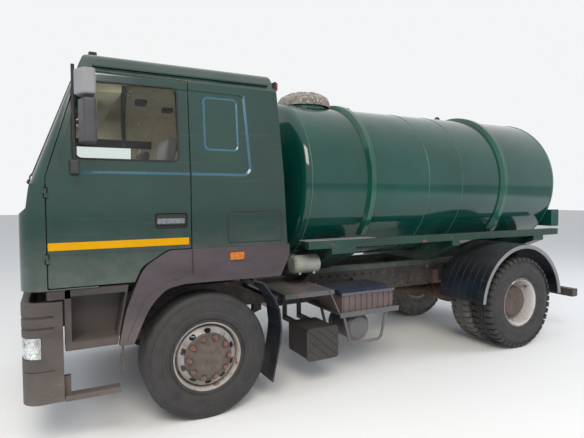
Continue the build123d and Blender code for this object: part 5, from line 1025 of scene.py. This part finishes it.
def shoulder_lug():
    """One block of the rear tread: it covers the shoulder and comes down a little onto the sidewall."""
    shape = bmesh.new()
    ends = []
    for turn, lean in ((-0.024, -0.004), (0.024, 0.006)):
        ring = []
        for r, y in LUG_SECTION:
            narrow = 0.8 if y < 0.06 else 1.0
            ring.append(shape.verts.new((r, turn * narrow + lean, y)))
        ends.append(ring)
    near, far = ends
    for k in range(len(near)):
        m = (k + 1) % len(near)
        shape.faces.new((near[k], near[m], far[m], far[k]))
    shape.faces.new(near)
    shape.faces.new(list(reversed(far)))
    bmesh.ops.recalc_face_normals(shape, faces=shape.faces)
    return from_shape("lug", shape, 25)


def ring_of_lugs(name, body, centre, edge, finish):
    """The lugs on one shoulder. Edge is 1 or -1, and the two shoulders stand half a step apart."""
    lug = shoulder_lug()
    for vert in lug.vertices:
        vert.co.z *= edge
    if edge < 0:
        lug.flip_normals()
    first_turn = 0.0 if edge > 0 else math.pi / LUGS
    return repeat(name, lug, RING, body, slot="tyre", count=LUGS, radius=0.0, first_turn=first_turn,
                  centre=centre, axis_turn=STAND_UP, finish=finish)


front_rubber = tyre_rubber("front_rubber", FRONT_CENTRE, 0.16)
rear_rubber = tyre_rubber("rear_rubber", REAR_CENTRE, 0.19)
pale_rubber = tyre_rubber("pale_rubber", REAR_CENTRE, 1.25)
TWINS = [("outer", WHEEL_Y, rear_rubber), ("inner", WHEEL_Y - TWIN_SPACING, pale_rubber)]
for side, way in SIDES.items():
    half = TYRE_W / 2
    profile = tyre_profile(way * WHEEL_Y, FRONT_R, half, FRONT_GROOVES)
    mesh = turned("front_tread_" + side, profile, FRONT_CENTRE, TYRE_STEPS)
    tyre = place("front_tread_" + side, mesh, "front_wheel_" + side, front_rubber, slot="tyre")
    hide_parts("front_tyre_" + side)
    for label, middle, finish in TWINS:
        profile = tyre_profile(way * middle, REAR_CASING_R, half * 0.965, REAR_GROOVES)
        mesh = turned("rear_tread", profile, REAR_CENTRE, TYRE_STEPS)
        body = "rear_wheels_" + side
        place(f"rear_{label}_tyre_{side}", mesh, body, finish, slot="tyre")
        for edge, letter in ((1, "a"), (-1, "b")):
            name = f"rear_{label}_lugs_{letter}_{side}"
            ring_of_lugs(name, body, (REAR_X, way * middle, REAR_R), edge, finish)
    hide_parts("rear_tyres_" + side)


# Wheels: the eased copies get a finish for the rim's edge, the disc and the hub

def wheel_face(centre, rim_r, hub_r=0.0):
    """A rule for a wheel: 0 disc, 1 rim, 2 hub."""
    def pick(p, n):
        r = math.hypot(p.x - centre[0], p.z - centre[2])
        if r < hub_r:
            return 2
        return 1 if r > rim_r else 0
    return pick


front_disc = disc_with_hub("front_disc", FRONT_CENTRE, 0.203)
for side in SIDES:
    dress("front_wheel_" + side, [front_disc, rim_enamel], wheel_face(FRONT_CENTRE, 0.262),
          slot="wheel_paint", angle=28)
    dress("rear_wheels_" + side, [wheel_enamel, wheel_enamel, hub_iron], wheel_face(REAR_CENTRE, 0.255, 0.20),
          slot="wheel_paint", angle=28)


# Cab outside: seals, stripe, wipers, mirror glass and small lamps

SCREEN_LEAN = 0.384
SCREEN_X, SCREEN_FOOT_Z = 3.275, 1.966
SCREEN = [(-1.085, 2.030), (1.085, 2.030), (1.030, 2.765), (-1.030, 2.765)]
WINDOW = [(2.232, 2.150), (2.975, 2.150), (2.985, 2.420), (2.862, 2.725), (2.232, 2.732)]
WINDOW_RADII = [0.045, 0.045, 0.120, 0.060, 0.045]
STRIPE = [(2.163, 1.490), (3.168, 1.490), (3.168, 1.545), (2.163, 1.545)]
TRIM_JOINT = [(2.134, 1.24), (2.140, 1.24), (2.140, 1.445), (2.134, 1.445)]


def screen_at(y, z, proud):
    """A point on the raked windscreen, a little in front of it."""
    return (SCREEN_X - (z - SCREEN_FOOT_Z) * SCREEN_LEAN + proud, y, z)


def plate(points, normal, thick):
    """A thin plate that stands on the outline and grows along the normal."""
    shape = bmesh.new()
    face = shape.faces.new([shape.verts.new(p) for p in points])
    grown = bmesh.ops.extrude_face_region(shape, geom=[face])["geom"]
    moved = [part for part in grown if isinstance(part, bmesh.types.BMVert)]
    bmesh.ops.translate(shape, vec=Vector(normal) * thick, verts=moved)
    bmesh.ops.recalc_face_normals(shape, faces=shape.faces)
    return from_shape("plate", shape, 30)


def soft_block(name, x, y, z, ease=0.006):
    """A block with rounded edges, between two values along each axis."""
    shape = bmesh.new()
    bmesh.ops.create_cube(shape, size=1.0)
    low, size = Vector((x[0], y[0], z[0])), (x[1] - x[0], y[1] - y[0], z[1] - z[0])
    for vert in shape.verts:
        vert.co = low + Vector([(vert.co[i] + 0.5) * size[i] for i in range(3)])
    bmesh.ops.bevel(shape, geom=list(shape.edges), offset=ease, segments=3, affect="EDGES", profile=0.6)
    return from_shape(name, shape, 35)


seal = [(x, skin_y(z) - 0.004, z) for x, z in rounded(WINDOW, WINDOW_RADII, 8)]
on_both("door_seal", bead("door_seal", seal, 0.0065), BOTH_DOORS, seal_rubber, slot="trim_plastic")
seal = [screen_at(y, z, 0.002) for y, z in rounded(SCREEN, 0.060, 8)]
place("screen_seal", bead("screen_seal", seal, 0.011), "cab", seal_rubber, slot="trim_plastic")

stripe = plate([(x, 1.2485, z) for x, z in rounded(STRIPE, 0.004, 3)], (0, 1, 0), 0.0021)
on_both("door_stripe", stripe, BOTH_DOORS, stripe_paint, slot="cab_paint")

# The joint across the arch trim, under the real gap between the door and the wall behind it
joint = plate([(x, 1.2615, z) for x, z in TRIM_JOINT], (0, 1, 0), 0.0012)
on_both("trim_joint", joint, BOTH_CABS, seal_rubber, slot="trim_plastic")


def wiper(name, pivot_y, tip_y):
    """An arm from a cap below the glass, bent up to the middle of a blade that lies near the lower edge."""
    def along(share, z, proud):
        return screen_at(pivot_y + (tip_y - pivot_y) * share, z, proud)

    cap = along(0, 1.985, 0.012)
    arm = bead(name, [cap, along(0.22, 2.035, 0.030), along(0.62, 2.105, 0.022)], 0.006, closed=False)
    place(name + "_arm", arm, "cab", seal_rubber, slot="trim_plastic")
    spots = (0.14, 0.4, 0.62, 0.84, 1.1)
    blade = [along(s, 2.075 + 0.06 * s, 0.010 + 0.006 * math.sin(math.pi * s)) for s in spots]
    blade = bead(name + "_blade", blade, 0.0075, closed=False)
    place(name + "_blade", blade, "cab", seal_rubber, slot="trim_plastic")
    hub = bmesh.new()
    leaning = Matrix.Translation(cap) @ Matrix.Rotation(math.radians(69), 4, "Y")
    bmesh.ops.create_cone(hub, cap_ends=True, segments=20, radius1=0.020, radius2=0.014, depth=0.03,
                          matrix=leaning)
    place(name + "_cap", from_shape(name, hub, 40), "cab", seal_rubber, slot="trim_plastic")


wiper("wiper_left", 0.98, 0.28)
wiper("wiper_middle", 0.05, -0.58)

# Mirror glass: name, reach outwards, lower and upper end
MIRROR_X, MIRROR_Y, MIRROR_RIM = 2.8505, 1.345, 0.018
for name, reach, z0, z1 in [("main", 0.185, 2.240, 2.540), ("wide", 0.175, 2.565, 2.740)]:
    y0, y1 = MIRROR_Y - 0.003, MIRROR_Y + reach - MIRROR_RIM
    z0, z1 = z0 + MIRROR_RIM, z1 - MIRROR_RIM
    edge = rounded([(y0, z0), (y1, z0), (y1, z1), (y0, z1)], 0.022, 5)
    glass = plate([(MIRROR_X, y, z) for y, z in edge], (-1, 0, 0), 0.0012)
    on_both("mirror_" + name, glass, BOTH_DOORS, mirror_glass, slot="glass")

# Small blocks on both sides: name, bodies, finish, slot, and the two ends along each axis
BLOCKS = [
    ("roof_stub", BOTH_CABS, seal_rubber, "trim_plastic", (2.79, 2.85), (0.86, 0.93), (2.975, 3.012)),
    ("corner_lamp", BOTH_CABS, lens_red, "lens", (1.322, 1.354), (1.098, 1.160), (2.812, 2.878)),
    ("corner_lamp_foot", BOTH_CABS, seal_rubber, "trim_plastic", (1.338, 1.358), (1.092, 1.166),
     (2.804, 2.886)),
    ("tail_lens", CHASSIS, lens_red, "lens", (-3.158, -3.148), (0.872, 1.145), (0.532, 0.608)),
]
for name, bodies, finish, slot, x, y, z in BLOCKS:
    on_both(name, soft_block(name, x, y, z), bodies, finish, slot=slot)

# A dark seal round each headlamp, which turns the bumper's corner
CORNER_X, CORNER_Y, CORNER_R = 3.232, 1.130, 0.117
lamp_edge = [(3.349, 0.852), (3.349, 1.130)]
for k in range(1, 7):
    a = math.radians(15 * k)
    lamp_edge.append((CORNER_X + CORNER_R * math.cos(a), CORNER_Y + CORNER_R * math.sin(a)))
lamp_edge.append((3.226, 1.247))
seal = [(x, y, 0.7225) for x, y in lamp_edge] + [(x, y, 0.8795) for x, y in reversed(lamp_edge)]
on_both("lamp_seal", bead("lamp_seal", seal, 0.003), CHASSIS, seal_rubber, slot="trim_plastic")

# The rusty strip that hangs from the front leg of the left arch trim, flattened against its plane
STRIP_Y = 1.246
strip = [(2.678, 1.240, 0.790), (2.682, STRIP_Y, 0.725), (2.690, 1.247, 0.650), (2.683, 1.249, 0.585),
         (2.690, STRIP_Y, 0.548)]
strip = bead("strip", strip, 0.011, closed=False, sides=6)
for vert in strip.vertices:
    vert.co.y = STRIP_Y + (vert.co.y - STRIP_Y) * 0.35
place("hanging_strip", strip, "cab", hub_iron, slot="trim_plastic")

# Tank: weld seams, the fillet round the neck, and the film over the hatch

SEAM_R = 0.8895
NECK_X, NECK_R = 0.43, 0.273
LID_Z = 3.0135
FILM_X = 0.425
FILM_R, FILM_STEPS, FILM_LIP = 0.290, 110, 0.74
FILM_LOW_Z, FILM_HIGH_Z = 2.925, 3.1085

# The small folds of the film are drawn from this seed, so they come out the same each time
FILM_SEED = 1795718400


def weld(name, x, size):
    """A ground-back weld round the tank that wanders a little from its line."""
    points = []
    for i in range(180):
        a = 2 * math.pi * i / 180
        wander = noise.noise(Vector((x * 3, math.cos(a) * 6, math.sin(a) * 6)))
        points.append((x + wander * 0.0025, SEAM_R * math.cos(a), TANK_Z + SEAM_R * math.sin(a)))
    place(name, bead(name, points, size), "chassis", weld_enamel, slot="tank_paint")


weld("weld_front", 0.812, 0.005)
weld("weld_middle", -0.740, 0.0045)
weld("weld_long", -1.270, 0.0045)
weld("weld_rear", -2.970, 0.005)
neck_line = []
for i in range(120):
    a = 2 * math.pi * i / 120
    y = NECK_R * math.sin(a)
    neck_line.append((NECK_X + NECK_R * math.cos(a), y, TANK_Z + math.sqrt(TANK_R**2 - y * y) + 0.001))
place("neck_weld", bead("neck_weld", neck_line, 0.007), "chassis", weld_enamel, slot="tank_paint")


def film_point(i, j):
    """The film: a square sheet bunched up on the lid, with its edges hanging down round the neck.

    It hangs short on the hinge's side, so that nothing is caught when the lid swings up."""
    u, v = 2 * i / FILM_STEPS - 1, 2 * j / FILM_STEPS - 1
    x, y = u * math.sqrt(1 - v * v / 2), v * math.sqrt(1 - u * u / 2)
    r, turn = math.hypot(x, y), math.atan2(y, x)
    spot = Vector((x, y, 0.0))
    folds = noise.ridged_multi_fractal(spot * 2.1 + Vector((4.1, 7.3, 2.2)), 1.1, 2.2, 3, 0.95, 1.7)
    push = noise.noise_vector(spot * 6.0 + Vector((9.0, 1.0, 3.0))) * 0.030
    if r < FILM_LIP:
        s = r / FILM_LIP
        out = FILM_R * s
        rise = 0.040 * (1 - s**2.2) + 0.052 * folds * (0.25 + 0.75 * (1 - s * s))
        z = LID_Z + 0.010 * abs(push.x) * 30 * s + rise + push.z * 0.7 * (1 - s)
        push = push * (1 - s)
    else:
        s = (r - FILM_LIP) / (1 - FILM_LIP)
        drop = 0.012 + 0.100 * min(1.0, max(0.0, (math.sin(turn) + 0.75) / 0.9))
        ruffle = 0.5 + 0.5 * math.sin(23 * turn + 4 * math.sin(3 * turn + 1) + 2 * folds)
        out = FILM_R + 0.004 + (0.016 * ruffle + 0.010 * abs(push.y) * 30) * min(1.0, s * 2.5)
        z = LID_Z - drop * s * (0.8 + 0.2 * ruffle) + 0.006 * folds * (1 - s)
        push = Vector((0, 0, 0))
    x, y = FILM_X + out * math.cos(turn) + push.x, out * math.sin(turn) + push.y
    return (x, y, max(FILM_LOW_Z, min(FILM_HIGH_Z, z)))


noise.seed_set(FILM_SEED)
film = bmesh.new()
steps = range(FILM_STEPS + 1)
grid = [[film.verts.new(film_point(i, j)) for j in steps] for i in steps]
for i in range(FILM_STEPS):
    for j in range(FILM_STEPS):
        film.faces.new((grid[i][j], grid[i + 1][j], grid[i + 1][j + 1], grid[i][j + 1]))
film = from_shape("hatch_film", film, 40)
sheet = place("hatch_film", film, "hatch_lid", cover_film, slot="cover_film")
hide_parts("hatch_cover")


# The pressed lines of the cab's side: their rounded edges carry a painted highlight, a bluish enamel for the
# sky, and the locker lid's groove a black line of painted shade

BELT_LINE_Z = 2.046
RECESS = [(2.131, BELT_LINE_Z), (1.617, BELT_LINE_Z), (1.660, 2.725)]
BLANK_WINDOW = [(1.726, 2.254), (2.014, 2.254), (2.014, 2.684), (1.726, 2.684)]
LOCKER_LID = [(1.336, 1.485), (1.831, 1.485), (1.831, 1.746), (1.336, 1.746)]
DOOR_LINE = [(2.148, 1.2340, BELT_LINE_Z), (2.95, 1.2330, BELT_LINE_Z)]


def in_skin(line, depth):
    """A flat line laid that far inside the cab's skin."""
    return [(x, skin_y(z) - depth, z) for x, z in line]


# The beads' bluish enamel is a painted highlight of the sky
line = bead("belt_line", in_skin(rounded(RECESS, [0, 0.07, 0], 8), 0.0168), 0.0200, closed=False)
on_both("belt_line", line, BOTH_CABS, edge_enamel, slot="cab_paint")
line = bead("door_belt_line", DOOR_LINE, 0.0190, closed=False)
on_both("door_belt_line", line, BOTH_DOORS, edge_enamel, slot="cab_paint")
line = bead("blank_window_line", in_skin(rounded(BLANK_WINDOW, 0.04, 6), 0.0165), 0.0130)
on_both("blank_window_line", line, BOTH_CABS, edge_enamel, slot="cab_paint")
grip = soft_block("handle_grip", (2.192, 2.410), (1.236, 1.2495), (1.657, 1.703), 0.010)
on_both("handle_grip", grip, BOTH_DOORS, handle_steel, slot="trim_plastic")
# A black bead in the locker lid's groove is painted shade in the gap round the lid
line = bead("locker_line", in_skin(rounded(LOCKER_LID, 0.03, 6), 0.0085), 0.0115)
on_both("locker_line", line, BOTH_CABS, seal_rubber, slot="trim_plastic")


# Nuts, studs and washers on the wheels, and the bolts along the rails

FRONT_NUTS_Y = WHEEL_Y + 0.160
REAR_NUTS_Y = WHEEL_Y - TWIN_SPACING / 2 + 0.017
RIM_LIP = [(-0.004, 0.121), (0.004, 0.124), (0.005, 0.114), (-0.002, 0.112)]
PLUG_HOLE = [(0.0005, 0.0), (0.021, 0.0), (0.023, 0.0035), (0.030, 0.0035), (0.031, -0.002), (0.0005, -0.002)]
PLUG_AT = (REAR_X + 0.075, 1.1200, REAR_R + 0.072)
PLUG_R = 0.020
RAIL_FACE_Y = 0.4298

# Label, X of the first bolt, step between bolts, how many, and height
RAIL_BOLTS = [
    ("front", 2.95, -0.16, 6, 0.80), ("middle", 0.9, -0.115, 12, 0.955), ("lower", 0.7, -0.19, 9, 0.79),
]

nut = nut_mesh(0.037, 0.024, 0.010)
for side, way in SIDES.items():
    piece = nut.copy()
    if way < 0:
        for vert in piece.vertices:
            vert.co.z = -vert.co.z
        piece.flip_normals()
    ring = {"slot": "cast_iron", "count": NUTS, "axis_turn": STAND_UP, "finish": nut_iron}
    repeat("front_nuts_" + side, piece, RING, "front_wheel_" + side, radius=FRONT_NUTS_R, first_turn=0.0,
           centre=(FRONT_X, way * FRONT_NUTS_Y, FRONT_R), **ring)
    repeat("rear_nuts_" + side, piece, RING, "rear_wheels_" + side, radius=REAR_NUTS_R, first_turn=0.1,
           centre=(REAR_X, way * REAR_NUTS_Y, REAR_R), **ring)
    lip = turned("lip", [(RIM_R + r, way * (WHEEL_Y + y)) for r, y in RIM_LIP], FRONT_CENTRE)
    place("front_rim_lip_" + side, lip, "front_wheel_" + side, rim_enamel, slot="wheel_paint")

# The hole in the rear hub's face where its plug is missing: a shallow ring whose black middle is painted
# shade for the hole's depth
for side, way in SIDES.items():
    hole = turned("hub_hole", PLUG_HOLE, (0, 0, 0), 32)
    for vert in hole.vertices:
        x, y, z = vert.co
        vert.co = (PLUG_AT[0] + x, way * (PLUG_AT[1] + y), PLUG_AT[2] + z)
    if way < 0:
        hole.flip_normals()
    place("hub_hole_" + side, hole, "rear_wheels_" + side, hub_iron, seal_rubber, slot="cast_iron")
    for face in hole.polygons:
        off_centre = math.hypot(face.center.x - PLUG_AT[0], face.center.z - PLUG_AT[2])
        face.material_index = 1 if off_centre < PLUG_R else 0

bolt = nut_mesh(0.026, 0.014, 0.006)
for side, way in SIDES.items():
    piece = bolt.copy()
    for vert in piece.vertices:
        y, z = vert.co.y, vert.co.z
        vert.co.y, vert.co.z = way * z, y
    if way > 0:
        piece.flip_normals()
    for label, start_x, step, count, z in RAIL_BOLTS:
        repeat(f"rail_bolts_{label}_{side}", piece, ROW, "chassis", slot="cast_iron", count=count,
               start=(start_x, way * RAIL_FACE_Y, z), step=(step, 0, 0), finish=frame_paint)


# Cab inside: soft seats and bunk, lining and small fittings

CLOTH_FRAMES = 20
SWELL_CAP = 0.012
SEAT = [(2.250, 1.652), (2.722, 1.652), (2.732, 1.728), (2.262, 1.756)]
SEAT_BACK = [(2.258, 1.790), (2.318, 1.785), (2.222, 2.404), (2.142, 2.388)]
BUNK = [(1.392, 1.662), (1.846, 1.662), (1.846, 1.742), (1.392, 1.742)]


def blown_up(name, mesh):
    """The mesh after its filling has pushed it out, by SWELL_CAP at most."""
    before = [vert.co.copy() for vert in mesh.vertices]
    holder = linked(name + "_cloth", mesh)
    cloth = holder.modifiers.new("cloth", "CLOTH")
    cloth.settings.use_pressure = True
    cloth.settings.uniform_pressure_force = 4.0
    cloth.settings.effector_weights.gravity = 0.0
    cloth.settings.quality = 5
    cloth.point_cache.frame_end = CLOTH_FRAMES
    for step in range(1, CLOTH_FRAMES + 1):
        bpy.context.scene.frame_set(step)
    blown = evaluated(holder)
    bpy.context.scene.frame_set(1)
    for vert, start in zip(blown.vertices, before):
        move = vert.co - start
        if move.length > SWELL_CAP:
            vert.co = start + move.normalized() * SWELL_CAP
    return blown


def pad(name, outline, y0, y1, voxel=0.012):
    """A sewn cushion: a smaller block that is blown up a little by its filling."""
    shape = bmesh.new()
    near, far = [[shape.verts.new((x, y, z)) for x, z in rounded(outline, 0.03, 4)] for y in (y0, y1)]
    count = len(near)
    for k in range(count):
        m = (k + 1) % count
        shape.faces.new((near[k], near[m], far[m], far[k]))
    shape.faces.new(near)
    shape.faces.new(list(reversed(far)))
    bmesh.ops.recalc_face_normals(shape, faces=shape.faces)
    holder = linked(name + "_holder", from_shape(name, shape))
    remesh = holder.modifiers.new("remesh", "REMESH")
    remesh.mode, remesh.voxel_size = "VOXEL", voxel
    mesh = evaluated(holder)
    mesh = blown_up(name, mesh)
    holder = linked(name + "_smooth", mesh)
    smooth = holder.modifiers.new("smooth", "SUBSURF")
    smooth.levels = smooth.render_levels = 1
    mesh = evaluated(holder)
    mesh.materials.clear()
    mesh.shade_smooth()
    made = place(name, mesh, "cab", seat_fabric, slot="seat_fabric")
    return made


cushion = pad("seat_pad_left", SEAT, 0.424, 0.896)
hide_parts("seat_cushions")
pad("seat_pad_right", SEAT, -0.896, -0.424)
pad("back_pad_left", SEAT_BACK, 0.432, 0.888)
pad("back_pad_right", SEAT_BACK, -0.888, -0.432)
pad("bunk_pad", BUNK, -1.165, 1.165, 0.018)

# Linings and fittings under the ceiling: name, finish, slot, the ends along each axis, and the edge radius
INSIDE_BLOCKS = [
    ("roof_shelf", liner_board, "interior", (2.62, 2.86), (-1.02, 1.02), (2.690, 2.762), 0.018),
    ("switch_panel_0", seal_rubber, "interior", (2.195, 2.305), (-0.400, -0.270), (2.868, 2.925), 0.004),
    ("switch_panel_1", seal_rubber, "interior", (1.850, 1.960), (-0.710, -0.580), (2.868, 2.925), 0.004),
    ("side_lining", liner_board, "interior", (2.00, 2.93), (-1.150, -1.128), (2.500, 2.790), 0.012),
    ("side_lining_edge", seal_rubber, "interior", (2.00, 2.93), (-1.152, -1.118), (2.478, 2.575), 0.014),
    ("roof_light", lens_clear, "lens", (2.40, 2.50), (-0.08, 0.08), (2.895, 2.925), 0.006),
]
for name, finish, slot, x, y, z, ease in INSIDE_BLOCKS:
    place(name, soft_block(name, x, y, z, ease), "cab", finish, slot=slot)

VISOR_FOOT_Z, VISOR_LEAN = 2.575, 0.30
for side, y in (("right", -0.62), ("left", 0.20)):
    visor = soft_block("visor", (2.805, 2.825), (y, y + 0.42), (VISOR_FOOT_Z, 2.705), 0.008)
    for vert in visor.vertices:
        vert.co.x -= (vert.co.z - VISOR_FOOT_Z) * VISOR_LEAN
    place("visor_" + side, visor, "cab", liner_board, slot="interior")

# The rail of the bunk's curtain, across the ceiling and down the far wall
CURTAIN_RAIL = [(2.505, 0.25, 2.893), (2.430, -0.33, 2.893), (2.360, -0.90, 2.880), (2.338, -1.085, 2.800),
                (2.332, -1.118, 2.700), (2.330, -1.118, 2.500)]
rail = bead("curtain_rail", CURTAIN_RAIL, 0.026, closed=False)
place("curtain_rail", rail, "cab", seal_rubber, slot="interior")


# The stage, the light and the camera

FLOOR_REACH = 60
CAMERA_AT = (3.1325, 4.9364, 1.8561)
CAMERA_LENS, CAMERA_SENSOR = 28.66, 36.0
YAW, PITCH, ROLL = math.radians(27.266), math.radians(-2.578), math.radians(-0.2845)


def pale_floor():
    """A wide matt floor in off-white."""
    made, tree = new_finish("studio_floor")[:2]
    surface(tree, {"Base Color": "#EFEFED", "Roughness": 0.75})
    mesh = bpy.data.meshes.new("floor")
    corners = [(-1, -1), (1, -1), (1, 1), (-1, 1)]
    mesh.from_pydata([(x * FLOOR_REACH, y * FLOOR_REACH, 0) for x, y in corners], [], [(0, 1, 2, 3)])
    mesh.materials.append(made)
    linked("floor", mesh)


def studio_world():
    """Soft light from all round. What the camera, a reflection or a pane sees straight on is white."""
    world = bpy.data.worlds.new("studio")
    bpy.context.scene.world = world
    world.use_nodes = True
    tree = world.node_tree
    tree.nodes.clear()
    ray = add(tree, "ShaderNodeLightPath").outputs
    seen = {0: ray["Is Camera Ray"], 1: ray["Is Transmission Ray"]}
    seen = add(tree, "ShaderNodeMath", seen, operation="MAXIMUM")
    seen = add(tree, "ShaderNodeMath", {0: seen, 1: ray["Is Glossy Ray"]}, operation="MAXIMUM")
    white = add(tree, "ShaderNodeBackground", {"Color": "#F4F5F6", "Strength": 1.0})
    soft = add(tree, "ShaderNodeBackground", {"Color": "#E9EEF4", "Strength": 0.62})
    mixed = add(tree, "ShaderNodeMixShader", {0: seen, 1: soft, 2: white})
    add(tree, "ShaderNodeOutputWorld", {"Surface": mixed})


def softbox(name, at, aim, size, power, tone):
    """An area light that faces the aim. Only the key shows in reflections."""
    lamp = bpy.data.lights.new(name, "AREA")
    lamp.shape = "RECTANGLE"
    lamp.size, lamp.size_y = size
    lamp.energy = power
    lamp.color = linear(tone)[:3]
    made = linked(name, lamp)
    made.location = at
    made.rotation_euler = (Vector(aim) - Vector(at)).to_track_quat("-Z", "Y").to_euler()
    made.visible_glossy = name == "key"


def photo_camera():
    """The camera where the photographer stood, worked out from the truck's own edges."""
    lens = bpy.data.cameras.new("camera")
    lens.lens, lens.sensor_width = CAMERA_LENS, CAMERA_SENSOR
    lens.clip_end = 200
    camera = linked("camera", lens)
    bpy.context.scene.camera = camera
    flat = math.cos(PITCH)
    ahead = Vector((-math.sin(YAW) * flat, -math.cos(YAW) * flat, math.sin(PITCH)))
    across = ahead.cross(Vector((0, 0, 1))).normalized()
    above = across.cross(ahead)
    axis_x = across * math.cos(ROLL) + above * math.sin(ROLL)
    axis_y = above * math.cos(ROLL) - across * math.sin(ROLL)
    turn = Matrix((axis_x, axis_y, -ahead)).transposed().to_4x4()
    camera.matrix_world = Matrix.Translation(CAMERA_AT) @ turn


pale_floor()
studio_world()
softbox("key", (4.5, 9.0, 8.5), (0.3, 0, 1.2), (6, 5), 1000, "#FFF7EC")
softbox("front_fill", (12, 1.5, 5), (2, 0, 1.2), (5, 5), 450, "#EAF1FF")
softbox("rear_fill", (-9, 5, 5), (-1, 0, 1.2), (5, 5), 450, "#EAF1FF")
photo_camera()
bpy.context.scene.view_settings.view_transform = "Standard"
bpy.context.scene.render.film_transparent = False
